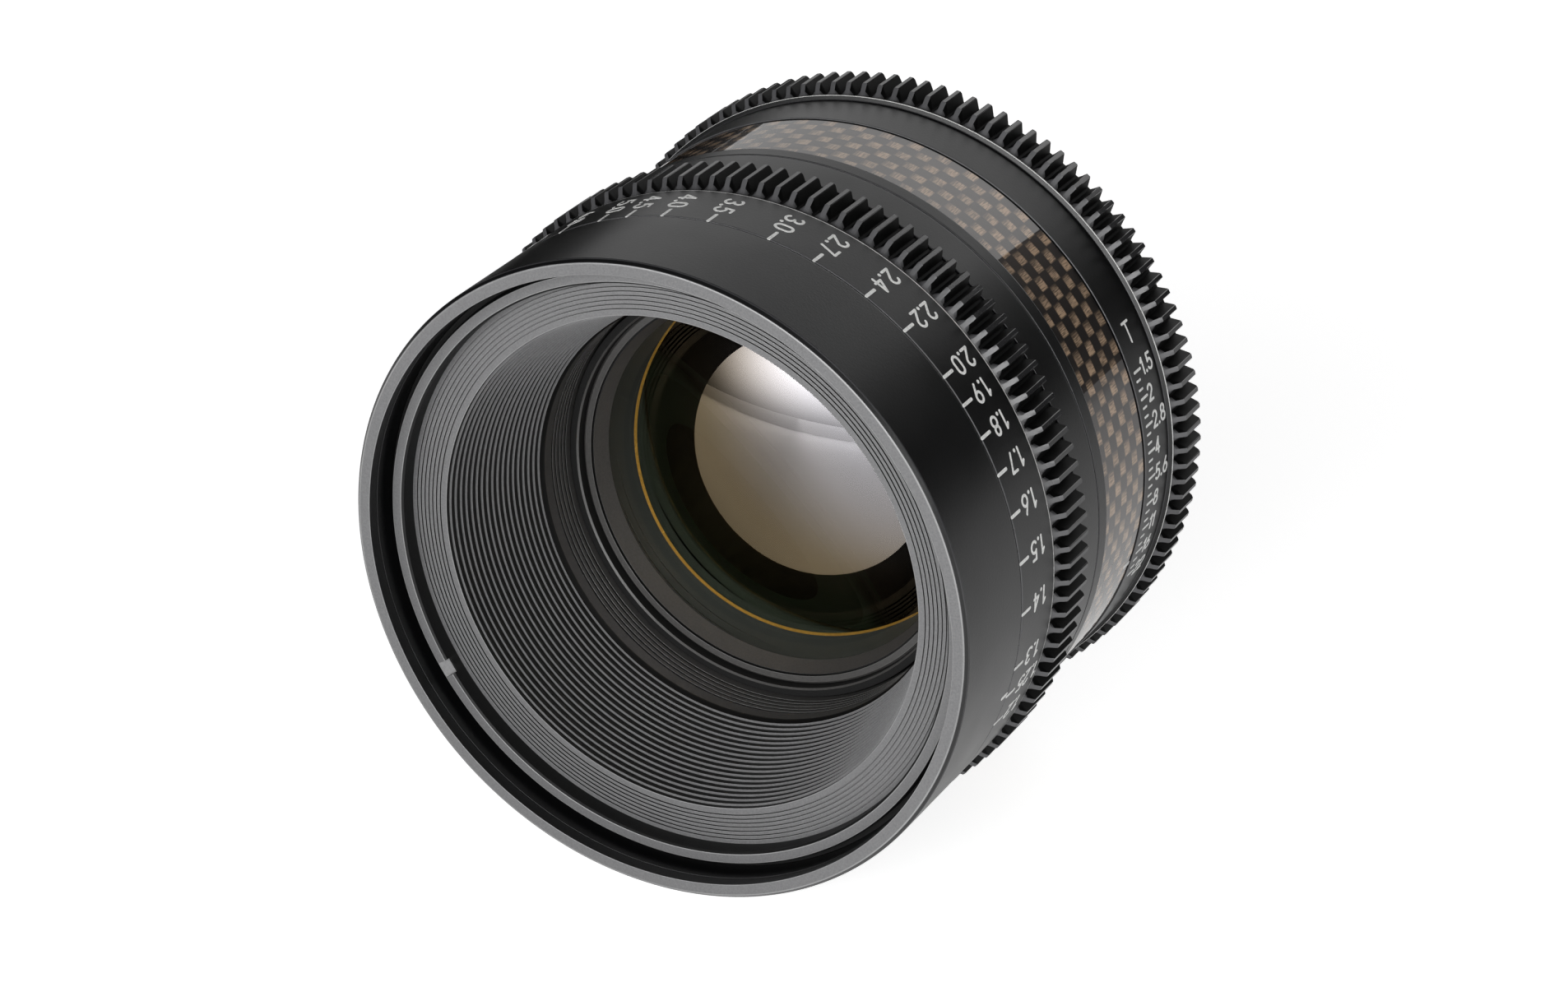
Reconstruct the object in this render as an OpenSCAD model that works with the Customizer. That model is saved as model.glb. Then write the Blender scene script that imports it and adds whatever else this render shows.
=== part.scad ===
// Cinema prime lens. The optical axis is Y, the front looks along -Y and +Z is up.
// The origin is the centre of the flange seat that rests on the camera.
// Every module is drawn along its own +Z, with z = 0 at the flange seat, and turned by on_axis().

/* [Overall] */
// Outer diameter of the front barrel, the clamp-on size for front accessories
front_d = 95; // [88:0.5:110]
// Length of the fixed front barrel
front_barrel_l = 16.95; // [14:0.05:24]
// Length of the focus ring
focus_l = 26.2; // [24:0.1:34]
// Length of the fixed mid ring behind the focus ring
mid_l = 2.6; // [1.5:0.1:6]
// Length of the carbon band
carbon_l = 14.2; // [10:0.1:24]
// Length of the iris ring
iris_l = 19; // [18:0.1:26]
// Length of the rear barrel
rear_l = 11.5; // [10:0.1:18]
// Length of the main barrel's spigot in the rear barrel
spigot_l = 1.6; // [1.2:0.1:1.8]
// Axial gap between rings that turn against each other
ring_gap = 0.25; // [0.15:0.05:0.6]

/* [Walls and fits] */
// Radial height of the rings outside the main barrel
ring_wall = 3.45; // [3:0.05:5]
// Wall of the main barrel where the iris ring turns
barrel_wall = 2.6; // [2:0.1:4]
// Free space between the main barrel and the cam sleeve
sleeve_gap = 0.4; // [0.3:0.05:1]
// Wall of the cam sleeve
sleeve_wall = 1.95; // [1.5:0.05:3]
// Wall of the guide tube
guide_wall = 2; // [1.5:0.1:3]
// Radial clearance of a turning fit
turn_fit = 0.05; // [0.02:0.01:0.08]
// Radial clearance of a sliding fit
slide_fit = 0.03; // [0.01:0.005:0.04]
// Clearance of a roller or a pin in its slot
slot_fit = 0.12; // [0.08:0.01:0.2]
// Thickness of the carbon band
carbon_wall = 0.7; // [0.5:0.1:1.2]
// Depth of the carbon band below the front diameter
carbon_drop = 0.8; // [0.4:0.1:1.5]

/* [Gears] */
// Tooth module of the follow-focus gears
gear_module = 0.8; // [0.6:0.1:1]
// Length of a gear's teeth at their tips
tooth_l = 6.7; // [4:0.1:8]
// Length of the bevel at the front of the teeth
tooth_bevel = 1.5; // [0.5:0.1:2]

/* [Front baffle] */
// Depth of the counterbore in the front rim
rim_depth = 4.25; // [3:0.05:7]
// Width of the flat front rim
rim_w = 2.25; // [1.8:0.05:3]
// Length of the filter thread
thread_l = 2.75; // [2:0.05:5]
// Wall of the filter ring outside its thread
thread_wall = 2.79; // [2:0.01:4]
// Number of ridges in the cone
ridges = 18; // [10:1:24]
// Depth of a ridge
ridge_depth = 0.45; // [0.2:0.05:0.8]
// Number of grooves in the flat grooved face
face_grooves = 8; // [4:1:10]
// Wall of the baffle
baffle_wall = 1.4; // [1:0.1:2]
// Radius drop from the guide tube's bore to the tube in front of the glass
tube_drop = 4.8; // [4:0.1:7]
// Length of plain and grooved tube in front of the cell at rest
tube_lead = 7.2; // [4:0.1:10]

/* [Focus] */
// Axial travel of the optics from the far to the near end of the scale
focus_travel = 8; // [6:0.1:9]
// Angle that the focus ring turns from rest towards the near end
focus_near = 17.5; // [10:0.5:30]
// Angle that the focus ring turns from rest towards the far end
focus_far = 179.7; // [150:0.1:200]
// Radius of a cam follower's roller
roller_r = 1.2; // [0.9:0.1:1.3]
// Length of the focus carriage
carriage_l = 9; // [7:0.5:10]

/* [Front optics] */
// Free space between the moving cell and the baffle's tube
cell_gap = 0.3; // [0.2:0.05:0.8]
// Wall of the front cell
cell_wall = 1.3; // [1:0.1:2]
// Radial width of the front retaining ring
retainer_w = 1.9; // [1.4:0.1:2.6]
// Length of the front cell
cell_l = 33.3; // [32:0.1:38]
// Depth of the front element's curve from its middle to its edge
front_sag = 8.39; // [5:0.01:8.6]
// Thickness of the front element on the axis
front_t = 10.6; // [9.5:0.1:14]

/* [Iris] */
// Number of iris blades
blades = 11; // [9:1:11]
// Free radius of the fully open iris
open_r = 17; // [15:0.1:18]
// Free radius of the fully closed iris
closed_r = 1.6; // [1:0.1:4]
// Width of a blade
blade_w = 7.3; // [6.5:0.1:8]
// Thickness of a blade
blade_t = 0.2; // [0.1:0.05:0.24]
// Axial step from one blade to the next
blade_step = 0.3; // [0.28:0.01:0.4]
// Angle that the iris ring turns from rest to fully open
iris_open = 36.2; // [20:0.1:40]
// Angle that the iris ring turns from rest to fully closed
iris_close = 3.8; // [2:0.1:10]

/* [Mount] */
// Radius of the register that enters the camera
register_r = 26.99; // [25:0.01:29]
// Length of the register behind the flange seat
register_l = 5; // [3:0.1:8]
// Radius over the four bayonet tabs
tab_r = 33; // [31.5:0.1:36]
// Angle that one tab covers
tab_angle = 52; // [40:1:64]
// Thickness of the mount flange
flange_t = 4; // [3:0.1:5]
// Thickness of the shim under the flange
shim_t = 0.3; // [0.1:0.05:0.6]
// Wall of the register
register_wall = 2.5; // [2:0.1:3]

/* [Hidden] */
$fn = 96;
FINE = 240;
EPS = 0.01;

// Axial stations, from the flange seat to the front rim
shim_z = flange_t;
rear_z = shim_z + shim_t;
rear_top = rear_z + rear_l;
iris_z = rear_top + ring_gap;
iris_top = iris_z + iris_l;
carbon_z = iris_top + ring_gap;
carbon_top = carbon_z + carbon_l;
mid_top = carbon_top + mid_l;
focus_z = mid_top + ring_gap;
focus_top = focus_z + focus_l;
front_z = focus_top + ring_gap;
front_top = front_z + front_barrel_l;

// Radial stations, from the outside to the optics
front_r = front_d / 2;
ring_bore = front_r - ring_wall;
barrel_r = ring_bore - turn_fit;
barrel_bore = barrel_r - barrel_wall;
sleeve_r = barrel_bore - sleeve_gap;
sleeve_bore = sleeve_r - sleeve_wall;
guide_r = sleeve_bore - turn_fit;
guide_bore = guide_r - guide_wall;
carriage_r = guide_bore - slide_fit;
tube_r = guide_bore - tube_drop;
cell_r = tube_r - cell_gap;
cell_bore = cell_r - cell_wall;
clear_r = cell_bore - retainer_w;
carbon_r = front_r - carbon_drop;
carbon_seat = carbon_r - carbon_wall;

// Gears
teeth = round((front_d + 1) / gear_module);
pitch_r = teeth * gear_module / 2;
tip_r = pitch_r + gear_module;
root_r = pitch_r - 1.25 * gear_module;
pressure = 20;
relief_r = root_r - 0.2;
relief_w = 0.4;
tooth_edge = 0.5;

// Iris
stop_z = iris_z + 11;
base_t = 1.5;
base_z = stop_z + 0.6;
stack_top = base_z - 0.2;
stack_h = blade_step * (blades - 1) + blade_t;
actuator_t = 1.2;
actuator_top = stack_top - stack_h - 0.3;
actuator_z = actuator_top - actuator_t;
plate_t = 1.8;
plate_top = actuator_z - 0.2;
plate_z = plate_top - plate_t;
pin_r = 0.6;
drive_r = 0.5;
drive_arm = 4.2;
blade_outer = open_r + blade_w;
pivot_r = blade_outer + pin_r + 0.7;
actuator_r = pivot_r + 3.4;
housing_bore = actuator_r + turn_fit;
housing_r = housing_bore + 1.75;
blade_arc = 112;
blade_swing = 2 * asin((open_r - closed_r) / (2 * pivot_r));
blade_ratio = blade_swing / (iris_open + iris_close);
blade_rest = blade_ratio * iris_open;
blade_pitch = 360 / blades;
key_angle = -90;
key_w = 4;
key_h = 3;
key_z = actuator_z + actuator_t / 2;
arm_w = 3;
arm_r = housing_r + 4.2;
fork_wall = 2.4;
fork_back = 1.2;

// Focus drive
near_travel = focus_travel * focus_near / (focus_near + focus_far);
far_travel = focus_travel - near_travel;
travel_per_deg = focus_travel / (focus_near + focus_far);
cell_z = base_z + base_t + 0.4;
cell_top = cell_z + cell_l;
carriage_z = cell_z + far_travel - 0.8;
carriage_top = carriage_z + carriage_l;
follower_z = carriage_z + carriage_l / 2;
followers = 3;
guide_flange_z = carriage_z - far_travel - 1.2;
guide_flange_t = 2;
guide_top = front_z + 4;
sleeve_z = guide_flange_z + guide_flange_t + ring_gap;
sleeve_top = focus_top;
sleeve_flange_t = 2;
web_z = focus_z + 7.4;
web_t = 3;
focus_bore = ring_bore + 1;
slot_half = roller_r + slot_fit;

// Front baffle
baffle_top = front_top - rim_depth - thread_l;
cone_z = cell_top + tube_lead;
cone_slope = (tube_drop - baffle_wall - 0.2) / (guide_top - cone_z);
tube_z = cell_top - far_travel - 2.3;
flange_h = 2.6;
baffle_flange_r = front_r - rim_w - 0.25;
ridge_pitch = (baffle_top - 0.4 - cone_z - 0.9) / ridges;
mouth_r = cone_r(baffle_top);
thread_r = front_r - rim_w - thread_wall;
groove_pitch = (thread_r - 0.3 - mouth_r - 0.9) / face_grooves;
groove_depth = 0.3;

// Optical surfaces: vertex stations on the axis
front_curve = curve_of(front_sag, cell_bore);
front_v = cell_top + 2.4;
front_back = front_v - front_t;
second_v = front_back - 1.1;
second_r = cell_bore - 4.6;
second_curve = curve_of(9.015, second_r);
second_t = 7.2;
second_back_curve = curve_of(4.651, second_r);
second_ring_w = 2;
second_ring_h = 3;
crown_v = second_v - second_t - 1;
doublet_r = second_r - 4;
crown_curve = curve_of(6.593, doublet_r);
crown_t = 7.3;
cement_z = crown_v - crown_t;
flint_t = 2;
flint_curve = curve_of(9.604, doublet_r);
flint_z = cell_z + 1.3;
rear_r = 18;
rear_flint_curve = 28;
rear_flint_dip = 4.4;
rear_flint_v = plate_z - rear_flint_dip;
rear_cement = rear_flint_v - 2;
rear_crown_curve = 35;
rear_crown_v = rear_cement - 7.2;
positive_v = rear_crown_v - 0.8;
positive_t = 6.8;
positive_curve = 80;
positive_back_curve = 60;
rear_element_v = positive_v - positive_t - 0.8;
rear_element_t = 1.8;
rear_element_curve = 70;
rear_element_edge = 3.8;
rear_element_z = rear_element_v - rear_element_edge;
rear_cell_z = rear_element_z - 1.3;
rear_cell_r = register_r - register_wall - 2.5;
register_bore = register_r - register_wall;

// Rear barrel
rear_barrel_r = front_r - 2.9;
spigot_z = rear_top - spigot_l;

// Screws
screw_r = 1;
head_r = 1.7;
mount_screw_r = (register_r + tab_r) / 2;
rear_screw_r = 0.55;
rear_head_r = 0.95;
rear_head_t = 0.8;
rear_screw_ring = barrel_bore + rear_head_r + 0.05;
rear_seat_z = rear_top - 1.05;

// Radius of the cone's ridge tops at height z
function cone_r(z) = tube_r + cone_slope * (z - cone_z);
// Depth of a spherical surface of radius c at radius r
function sag(c, r) = c - sqrt(c * c - r * r);
// Radius of the spherical surface that is s deep at radius r
function curve_of(s, r) = (r * r + s * s) / (2 * s);
// A point at radius r and angle a
function polar(r, a) = [r * cos(a), r * sin(a)];
// A point p turned by angle a about the axis
function turned(p, a) = [p[0] * cos(a) - p[1] * sin(a), p[0] * sin(a) + p[1] * cos(a)];
// Drive pin of a blade whose pivot lies on +X, at blade angle b
function drive_pin(b) = [pivot_r, 0] + polar(drive_arm, 90 - blade_swing / 2 + b);
// Centre line of an actuator slot, in the actuator's frame, at iris angle a from rest
function slot_point(a) = turned(drive_pin(blade_rest + blade_ratio * a), -a);

module on_axis() {
    rotate([90, 0, 0]) children();
}

module ring(r_in, r_out, z_low, z_high) {
    rotate_extrude() translate([r_in, z_low]) square([r_out - r_in, z_high - z_low]);
}

module lathe(points) {
    rotate_extrude() polygon(points);
}

// A glass blank of radius r between two surfaces: a vertex station and a radius of curvature each,
// where a positive radius bulges outwards, a negative one is hollow and zero is flat.
module element(r, front_vertex, front_radius, back_vertex, back_radius, low, high) {
    difference() {
        intersection() {
            translate([0, 0, low]) cylinder(r = r, h = high - low);
            if (front_radius > 0) {
                translate([0, 0, front_vertex - front_radius]) sphere(r = front_radius, $fn = FINE);
            }
            if (back_radius > 0) {
                translate([0, 0, back_vertex + back_radius]) sphere(r = back_radius, $fn = FINE);
            }
        }
        if (front_radius < 0) {
            translate([0, 0, front_vertex - front_radius]) sphere(r = -front_radius, $fn = FINE);
        }
        if (back_radius < 0) {
            translate([0, 0, back_vertex + back_radius]) sphere(r = -back_radius, $fn = FINE);
        }
    }
}

// Outline of the gap between two gear teeth, from the root outwards, centred on +X
module gap_outline() {
    tip_half = (PI * gear_module / 4 - gear_module * tan(pressure)) / tip_r * 180 / PI;
    root_half = (PI * gear_module / 4 + 1.25 * gear_module * tan(pressure)) / root_r * 180 / PI;
    root = polar(root_r, 180 / teeth - root_half);
    tip = polar(tip_r, 180 / teeth - tip_half);
    outside = tip + 0.5 * (tip - root);
    polygon([root, outside, [outside[0], -outside[1]], [root[0], -root[1]]]);
}

// Gaps that make a gear's teeth, with the rear faces of the teeth at z_low
module tooth_gaps(z_low, length) {
    for (i = [0:teeth - 1]) {
        rotate(i * 360 / teeth) translate([0, 0, z_low - relief_w / 2])
            linear_extrude(length + tooth_bevel + relief_w) gap_outline();
    }
}

// Profile of a gear, from the relief groove behind the teeth to the core in front of their bevel
function gear_profile(z_low, length) = [
    [relief_r, z_low - relief_w], [relief_r, z_low], [tip_r - tooth_edge, z_low], [tip_r, z_low + tooth_edge],
    [tip_r, z_low + length],
    [relief_r, z_low + length + tooth_bevel]
];

// Fixed front tube with the flat rim, the counterbore and the seat of the baffle
module front_barrel() {
    rim_bore = front_r - rim_w;
    seat_z = baffle_top - flange_h;
    chamfer = 0.55;
    color("#2b2b2d") on_axis() lathe([
        [guide_r, front_z], [front_r - 0.2, front_z], [front_r, front_z + 0.2],
        [front_r, front_top - chamfer], [front_r - chamfer, front_top],
        [rim_bore, front_top], [rim_bore, seat_z],
        [guide_r + 2, seat_z], [guide_r + 2, guide_top], [guide_r, guide_top]
    ]);
}

// Ring with the filter thread and two spanner notches
module filter_ring() {
    outer = front_r - rim_w;
    notch_w = 2.2;
    color("#5c5c5e") on_axis() difference() {
        ring(thread_r, outer, baffle_top, baffle_top + thread_l);
        for (a = [33, 213]) {
            rotate(a) translate([thread_r - 1, -notch_w / 2, baffle_top + thread_l - 1])
                cube([2.2, notch_w, 2]);
        }
    }
}

// Grooved face, ridged cone and tube that keep stray light off the glass
module front_baffle() {
    color("#1d1d1f") on_axis() lathe(concat(
        [for (i = [0:ridges - 1])
            let (z = cone_z + 0.9 + i * ridge_pitch)
                each [[cone_r(z) + ridge_depth, z + 0.05], [cone_r(z) + ridge_depth, z + 0.45 * ridge_pitch],
                      [cone_r(z), z + 0.55 * ridge_pitch], [cone_r(z), z + 0.95 * ridge_pitch]]],
        [[mouth_r, baffle_top]],
        [for (i = [0:face_grooves - 1])
            let (r = mouth_r + 0.9 + i * groove_pitch)
                each [[r, baffle_top], [r, baffle_top - groove_depth],
                      [r + 0.4 * groove_pitch, baffle_top - groove_depth],
                      [r + 0.4 * groove_pitch, baffle_top]]],
        [[baffle_flange_r, baffle_top], [baffle_flange_r, baffle_top - flange_h],
         [cone_r(baffle_top - flange_h) + baffle_wall, baffle_top - flange_h],
         [tube_r + baffle_wall, cone_z], [tube_r + baffle_wall, tube_z], [tube_r, tube_z], [tube_r, cone_z]]
    ));
}

// Inner tube that carries the front barrel and keeps the carriage from turning
module guide_tube() {
    slot_low = follower_z - far_travel - slot_half;
    slot_high = follower_z + near_travel + slot_half;
    color("#8d8f92") on_axis() difference() {
        lathe([
            [guide_bore, guide_flange_z], [barrel_bore, guide_flange_z],
            [barrel_bore, guide_flange_z + guide_flange_t], [guide_r, guide_flange_z + guide_flange_t],
            [guide_r, guide_top], [guide_bore, guide_top]
        ]);
        for (i = [0:followers - 1]) {
            rotate(90 + i * 360 / followers) translate([guide_bore - 1, -slot_half, slot_low])
                cube([guide_wall + 2, 2 * slot_half, slot_high - slot_low]);
        }
    }
}

// Outer body that carries the carbon band, the mid ring and the iris ring
module main_barrel() {
    shoulder_r = barrel_bore - 1.4;
    window_low = key_z - key_h / 2 - 0.6;
    window_half = (iris_open + iris_close) / 2 + (key_w / 2 + 0.9) / barrel_bore * 180 / PI;
    window_mid = key_angle + (iris_close - iris_open) / 2;
    color("#2b2b2d") on_axis() difference() {
        lathe([
            [shoulder_r, spigot_z], [barrel_bore, spigot_z], [barrel_bore, rear_top], [barrel_r, rear_top],
            [barrel_r, iris_top + ring_gap / 2],
            [carbon_seat, iris_top + ring_gap / 2], [carbon_seat, mid_top], [barrel_bore, mid_top],
            [barrel_bore, guide_flange_z], [shoulder_r, guide_flange_z]
        ]);
        rotate(window_mid - window_half) rotate_extrude(angle = 2 * window_half)
            translate([shoulder_r - 1, window_low]) square([barrel_r - shoulder_r + 2, key_h + 1.2]);
        rear_screw_spots(spigot_z);
    }
}

// Narrow fixed ring between the focus ring and the carbon band
module mid_ring() {
    outer = front_r - 0.3;
    color("#232325") on_axis() lathe([
        [carbon_seat, carbon_top], [outer - 0.3, carbon_top], [outer, carbon_top + 0.3],
        [outer, mid_top - 0.2], [outer - 0.2, mid_top], [carbon_seat, mid_top]
    ]);
}

// Woven carbon sleeve
module carbon_band() {
    edge = 0.15;
    color("#3a3431") on_axis() lathe([
        [carbon_seat, carbon_z], [carbon_r - edge, carbon_z], [carbon_r, carbon_z + edge],
        [carbon_r, carbon_top - edge], [carbon_r - edge, carbon_top], [carbon_seat, carbon_top]
    ]);
}

// Conical rear body that joins the main barrel to the mount
module rear_barrel() {
    floor_t = 3;
    wall = 2.5;
    base_r = tab_r + 1;
    base_h = 1.4;
    edge = 0.3;
    color("#2b2b2d") on_axis() difference() {
        lathe([
            [register_bore, rear_z], [base_r, rear_z], [base_r, rear_z + base_h],
            [rear_barrel_r, rear_top - edge], [rear_barrel_r, rear_top],
            [barrel_bore, rear_top], [barrel_bore, spigot_z], [barrel_bore - 1.6, spigot_z],
            [base_r - wall, rear_z + floor_t], [register_bore, rear_z + floor_t]
        ]);
        mount_screw_spots(rear_z - 1, rear_z + floor_t + 1, screw_r);
        rear_screw_spots(rear_z);
    }
}

// Shapes of the axial screws that hold the rear barrel on the main barrel, with heads down to z_low
module rear_screw_spots(z_low) {
    bite = 2.2;
    for (i = [0:5]) {
        rotate(30 + 60 * i) translate([rear_screw_ring, 0, 0]) {
            translate([0, 0, rear_seat_z - EPS])
                cylinder(r = rear_screw_r, h = rear_top + bite - rear_seat_z + EPS);
            translate([0, 0, z_low]) cylinder(r = rear_head_r, h = rear_seat_z - z_low);
        }
    }
}

// Axial screws of the rear barrel
module rear_screws() {
    color("#6b6b6d") on_axis() rear_screw_spots(rear_seat_z - rear_head_t);
}

// Thin ring that sets the flange distance
module mount_shim() {
    color("#a8a9ab") on_axis() ring(register_bore, mount_screw_r - screw_r - 0.5, shim_z, rear_z);
}

// Places of the mount screws between two heights
module mount_screw_spots(z_low, z_high, r) {
    for (i = [0:3]) {
        rotate(45 + 90 * i) translate([mount_screw_r, 0, z_low]) cylinder(r = r, h = z_high - z_low);
    }
}

// Four-tab bayonet flange with its register
module mount_flange() {
    disc_r = register_r + 2.6;
    head_t = 1.2;
    pin_notch_w = 3.2;
    color("#b9babc") on_axis() difference() {
        union() {
            ring(register_bore, disc_r, 0, flange_t);
            ring(register_bore, register_r, -register_l, EPS);
            for (i = [0:3]) {
                rotate(45 + 90 * i - tab_angle / 2) rotate_extrude(angle = tab_angle)
                    translate([disc_r - 1, 0]) square([tab_r - disc_r + 1, flange_t]);
            }
        }
        mount_screw_spots(-1, flange_t + 1, screw_r);
        mount_screw_spots(-1, head_t, head_r);
        rotate(45) translate([tab_r - 2.2, -pin_notch_w / 2, -1]) cube([4, pin_notch_w, flange_t + 2]);
    }
}

// Screws that hold the flange on the rear barrel
module mount_screws() {
    color("#77787a") on_axis() difference() {
        union() {
            mount_screw_spots(0.1, rear_z + 2.8, screw_r);
            mount_screw_spots(0.1, 1.2, head_r);
        }
        for (i = [0:3]) {
            rotate(45 + 90 * i) translate([mount_screw_r - 1.2, -0.25, -1]) cube([2.4, 0.5, 1.6]);
        }
    }
}

// Outer focus ring: scale band, gear, rear band and the web that is screwed to the cam sleeve
module focus_ring() {
    gear_z = focus_z + 6.7;
    lip_z = gear_z + tooth_l + tooth_bevel + 0.9;
    rear_r_out = front_r - 0.3;
    color("#2d2d2f") on_axis() difference() {
        lathe(concat(
            [[focus_bore, focus_z], [rear_r_out - 0.2, focus_z], [rear_r_out, focus_z + 0.2],
             [rear_r_out, gear_z - relief_w]],
            gear_profile(gear_z, tooth_l),
            [[relief_r, lip_z - 0.7], [front_r, lip_z], [front_r, focus_top - 0.2],
             [front_r - 0.2, focus_top],
             [focus_bore, focus_top], [focus_bore, web_z + web_t], [sleeve_r, web_z + web_t],
             [sleeve_r, web_z], [focus_bore, web_z]]
        ));
        tooth_gaps(gear_z, tooth_l);
        focus_screw_spots(web_z - 1, web_z + web_t - 0.5, screw_r);
    }
}

// Places of the focus screws between two heights
module focus_screw_spots(z_low, z_high, r) {
    screw_ring = (sleeve_r + focus_bore) / 2;
    for (i = [0:5]) {
        rotate(30 + 60 * i) translate([screw_ring, 0, z_low]) cylinder(r = r, h = z_high - z_low);
    }
}

// Screws that hold the focus ring on the cam sleeve
module focus_screws() {
    flange_z = web_z - sleeve_flange_t;
    color("#8a8b8d") on_axis() {
        focus_screw_spots(flange_z - 1.2, flange_z, head_r - 0.3);
        focus_screw_spots(flange_z - EPS, web_z + web_t - 0.5, screw_r);
    }
}

// One helical cam slot, a square section swept along the helix right through the sleeve's wall
module cam_slot() {
    steps = 48;
    over = (roller_r + 0.3) / sleeve_r * 180 / PI;
    first = -focus_near - over;
    last = focus_far + over;
    r_in = sleeve_bore - 1;
    r_out = sleeve_r + 1;
    points = [
        for (i = [0:steps])
            let (a = first + (last - first) * i / steps, z = follower_z - travel_per_deg * a)
                each [
                    [r_in * cos(a), r_in * sin(a), z - slot_half],
                    [r_out * cos(a), r_out * sin(a), z - slot_half],
                    [r_out * cos(a), r_out * sin(a), z + slot_half],
                    [r_in * cos(a), r_in * sin(a), z + slot_half]
                ]
    ];
    sides = [
        for (i = [0:steps - 1], k = [0:3])
            let (a = 4 * i + k, b = 4 * i + (k + 1) % 4)
                each [[a, b, b + 4], [a, b + 4, a + 4]]
    ];
    end = 4 * steps;
    caps = [[0, 2, 1], [0, 3, 2], [end, end + 1, end + 2], [end, end + 2, end + 3]];
    polyhedron(points = points, faces = concat(sides, caps));
}

// Rotating sleeve with three helical slots, fastened to the focus ring
module cam_sleeve() {
    flange_z = web_z - sleeve_flange_t;
    color("#9c9ea1") on_axis() difference() {
        lathe([
            [sleeve_bore, sleeve_z], [sleeve_r, sleeve_z], [sleeve_r, flange_z],
            [focus_bore - 0.4, flange_z], [focus_bore - 0.4, web_z], [sleeve_r, web_z],
            [sleeve_r, sleeve_top], [sleeve_bore, sleeve_top]
        ]);
        for (i = [0:followers - 1]) {
            rotate(90 + i * 360 / followers) cam_slot();
        }
        focus_screw_spots(flange_z - 1, web_z + 1, screw_r);
    }
}

// Ring that slides in the guide tube and carries the front cell
module focus_carriage() {
    color("#85878a") on_axis() difference() {
        ring(cell_r, carriage_r, carriage_z, carriage_top);
        follower_spots(cell_r + 1.2, guide_r, roller_r);
    }
}

// Places of the cam followers between two radii
module follower_spots(r_low, r_high, r) {
    for (i = [0:followers - 1]) {
        rotate(90 + i * 360 / followers) translate([0, 0, follower_z]) rotate([0, 90, 0])
            translate([0, 0, r_low]) cylinder(r = r, h = r_high - r_low);
    }
}

// Rollers that run in the guide tube's straight slots and the cam sleeve's helical slots
module cam_followers() {
    color("#c2b28a") on_axis() follower_spots(cell_r + 1.2, sleeve_r - 0.15, roller_r);
}

// Cell of the front optics
module front_cell() {
    second_edge = second_v - second_t - sag(second_back_curve, second_r);
    color("#4a4a4c") on_axis() lathe([
        [doublet_r - 4, cell_z], [cell_r, cell_z], [cell_r, cell_top], [cell_bore, cell_top],
        [cell_bore, front_back], [second_r + 1.6, front_back], [second_r + 1.6, front_back - 5.5],
        [second_r, front_back - 5.5], [second_r, second_edge], [doublet_r, second_edge],
        [doublet_r, flint_z], [doublet_r - 4, flint_z]
    ]);
}

// Ring that holds the front element, with an inner bevel
module front_retainer() {
    face_z = cell_top - 2.1;
    bevel_z = cell_top - 1.35;
    seat_z = front_v - sag(front_curve, cell_bore) + EPS;
    color("#6f6d6b") on_axis() difference() {
        lathe([
            [clear_r, seat_z], [cell_bore, seat_z], [cell_bore, bevel_z],
            [cell_bore - 0.64, face_z], [clear_r, face_z]
        ]);
        translate([0, 0, front_v - front_curve]) sphere(r = front_curve);
        for (a = [60, 240]) {
            rotate(a) translate([clear_r - 1, -0.8, face_z - 0.6]) cube([2.1, 1.6, 2]);
        }
    }
}

// Large convex front glass
module front_element() {
    color("#7d8a86", 0.5) on_axis()
        element(cell_bore, front_v, front_curve, front_back, 0, front_back, front_v);
}

// Ring that holds the second element
module second_retainer() {
    low = second_v - sag(second_curve, second_r) + EPS;
    color("#3c3c3e") on_axis() difference() {
        ring(second_r - second_ring_w, second_r, low, low + second_ring_h);
        translate([0, 0, second_v - second_curve]) sphere(r = second_curve);
    }
}

// Positive meniscus behind the front glass
module second_element() {
    back_v = second_v - second_t;
    color("#7d8a86", 0.5) on_axis()
        element(second_r, second_v, second_curve, back_v, -second_back_curve,
                back_v - sag(second_back_curve, second_r), second_v);
}

// Ring that holds the front doublet
module doublet_retainer() {
    low = crown_v - sag(crown_curve, doublet_r) + EPS;
    color("#3c3c3e") on_axis() difference() {
        ring(doublet_r - 1.8, doublet_r, low, low + 2.4);
        translate([0, 0, crown_v - crown_curve]) sphere(r = crown_curve);
    }
}

// Front half of the front doublet
module front_crown() {
    color("#7d8a86", 0.5) on_axis()
        element(doublet_r, crown_v, crown_curve, cement_z, 0, cement_z, crown_v);
}

// Rear half of the front doublet, hollow towards the iris
module front_flint() {
    color("#8a8274", 0.5) on_axis()
        element(doublet_r, cement_z, 0, cement_z - flint_t, -flint_curve, flint_z, cement_z);
}

// Plate with the blades' pivot holes
module iris_base() {
    color("#46474a") on_axis() difference() {
        ring(open_r + 0.2, housing_bore, base_z, base_z + base_t);
        for (i = [0:blades - 1]) {
            rotate(i * blade_pitch) translate([pivot_r, 0, base_z - 1])
                cylinder(r = pin_r + turn_fit, h = base_t + 2);
        }
    }
}

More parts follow.
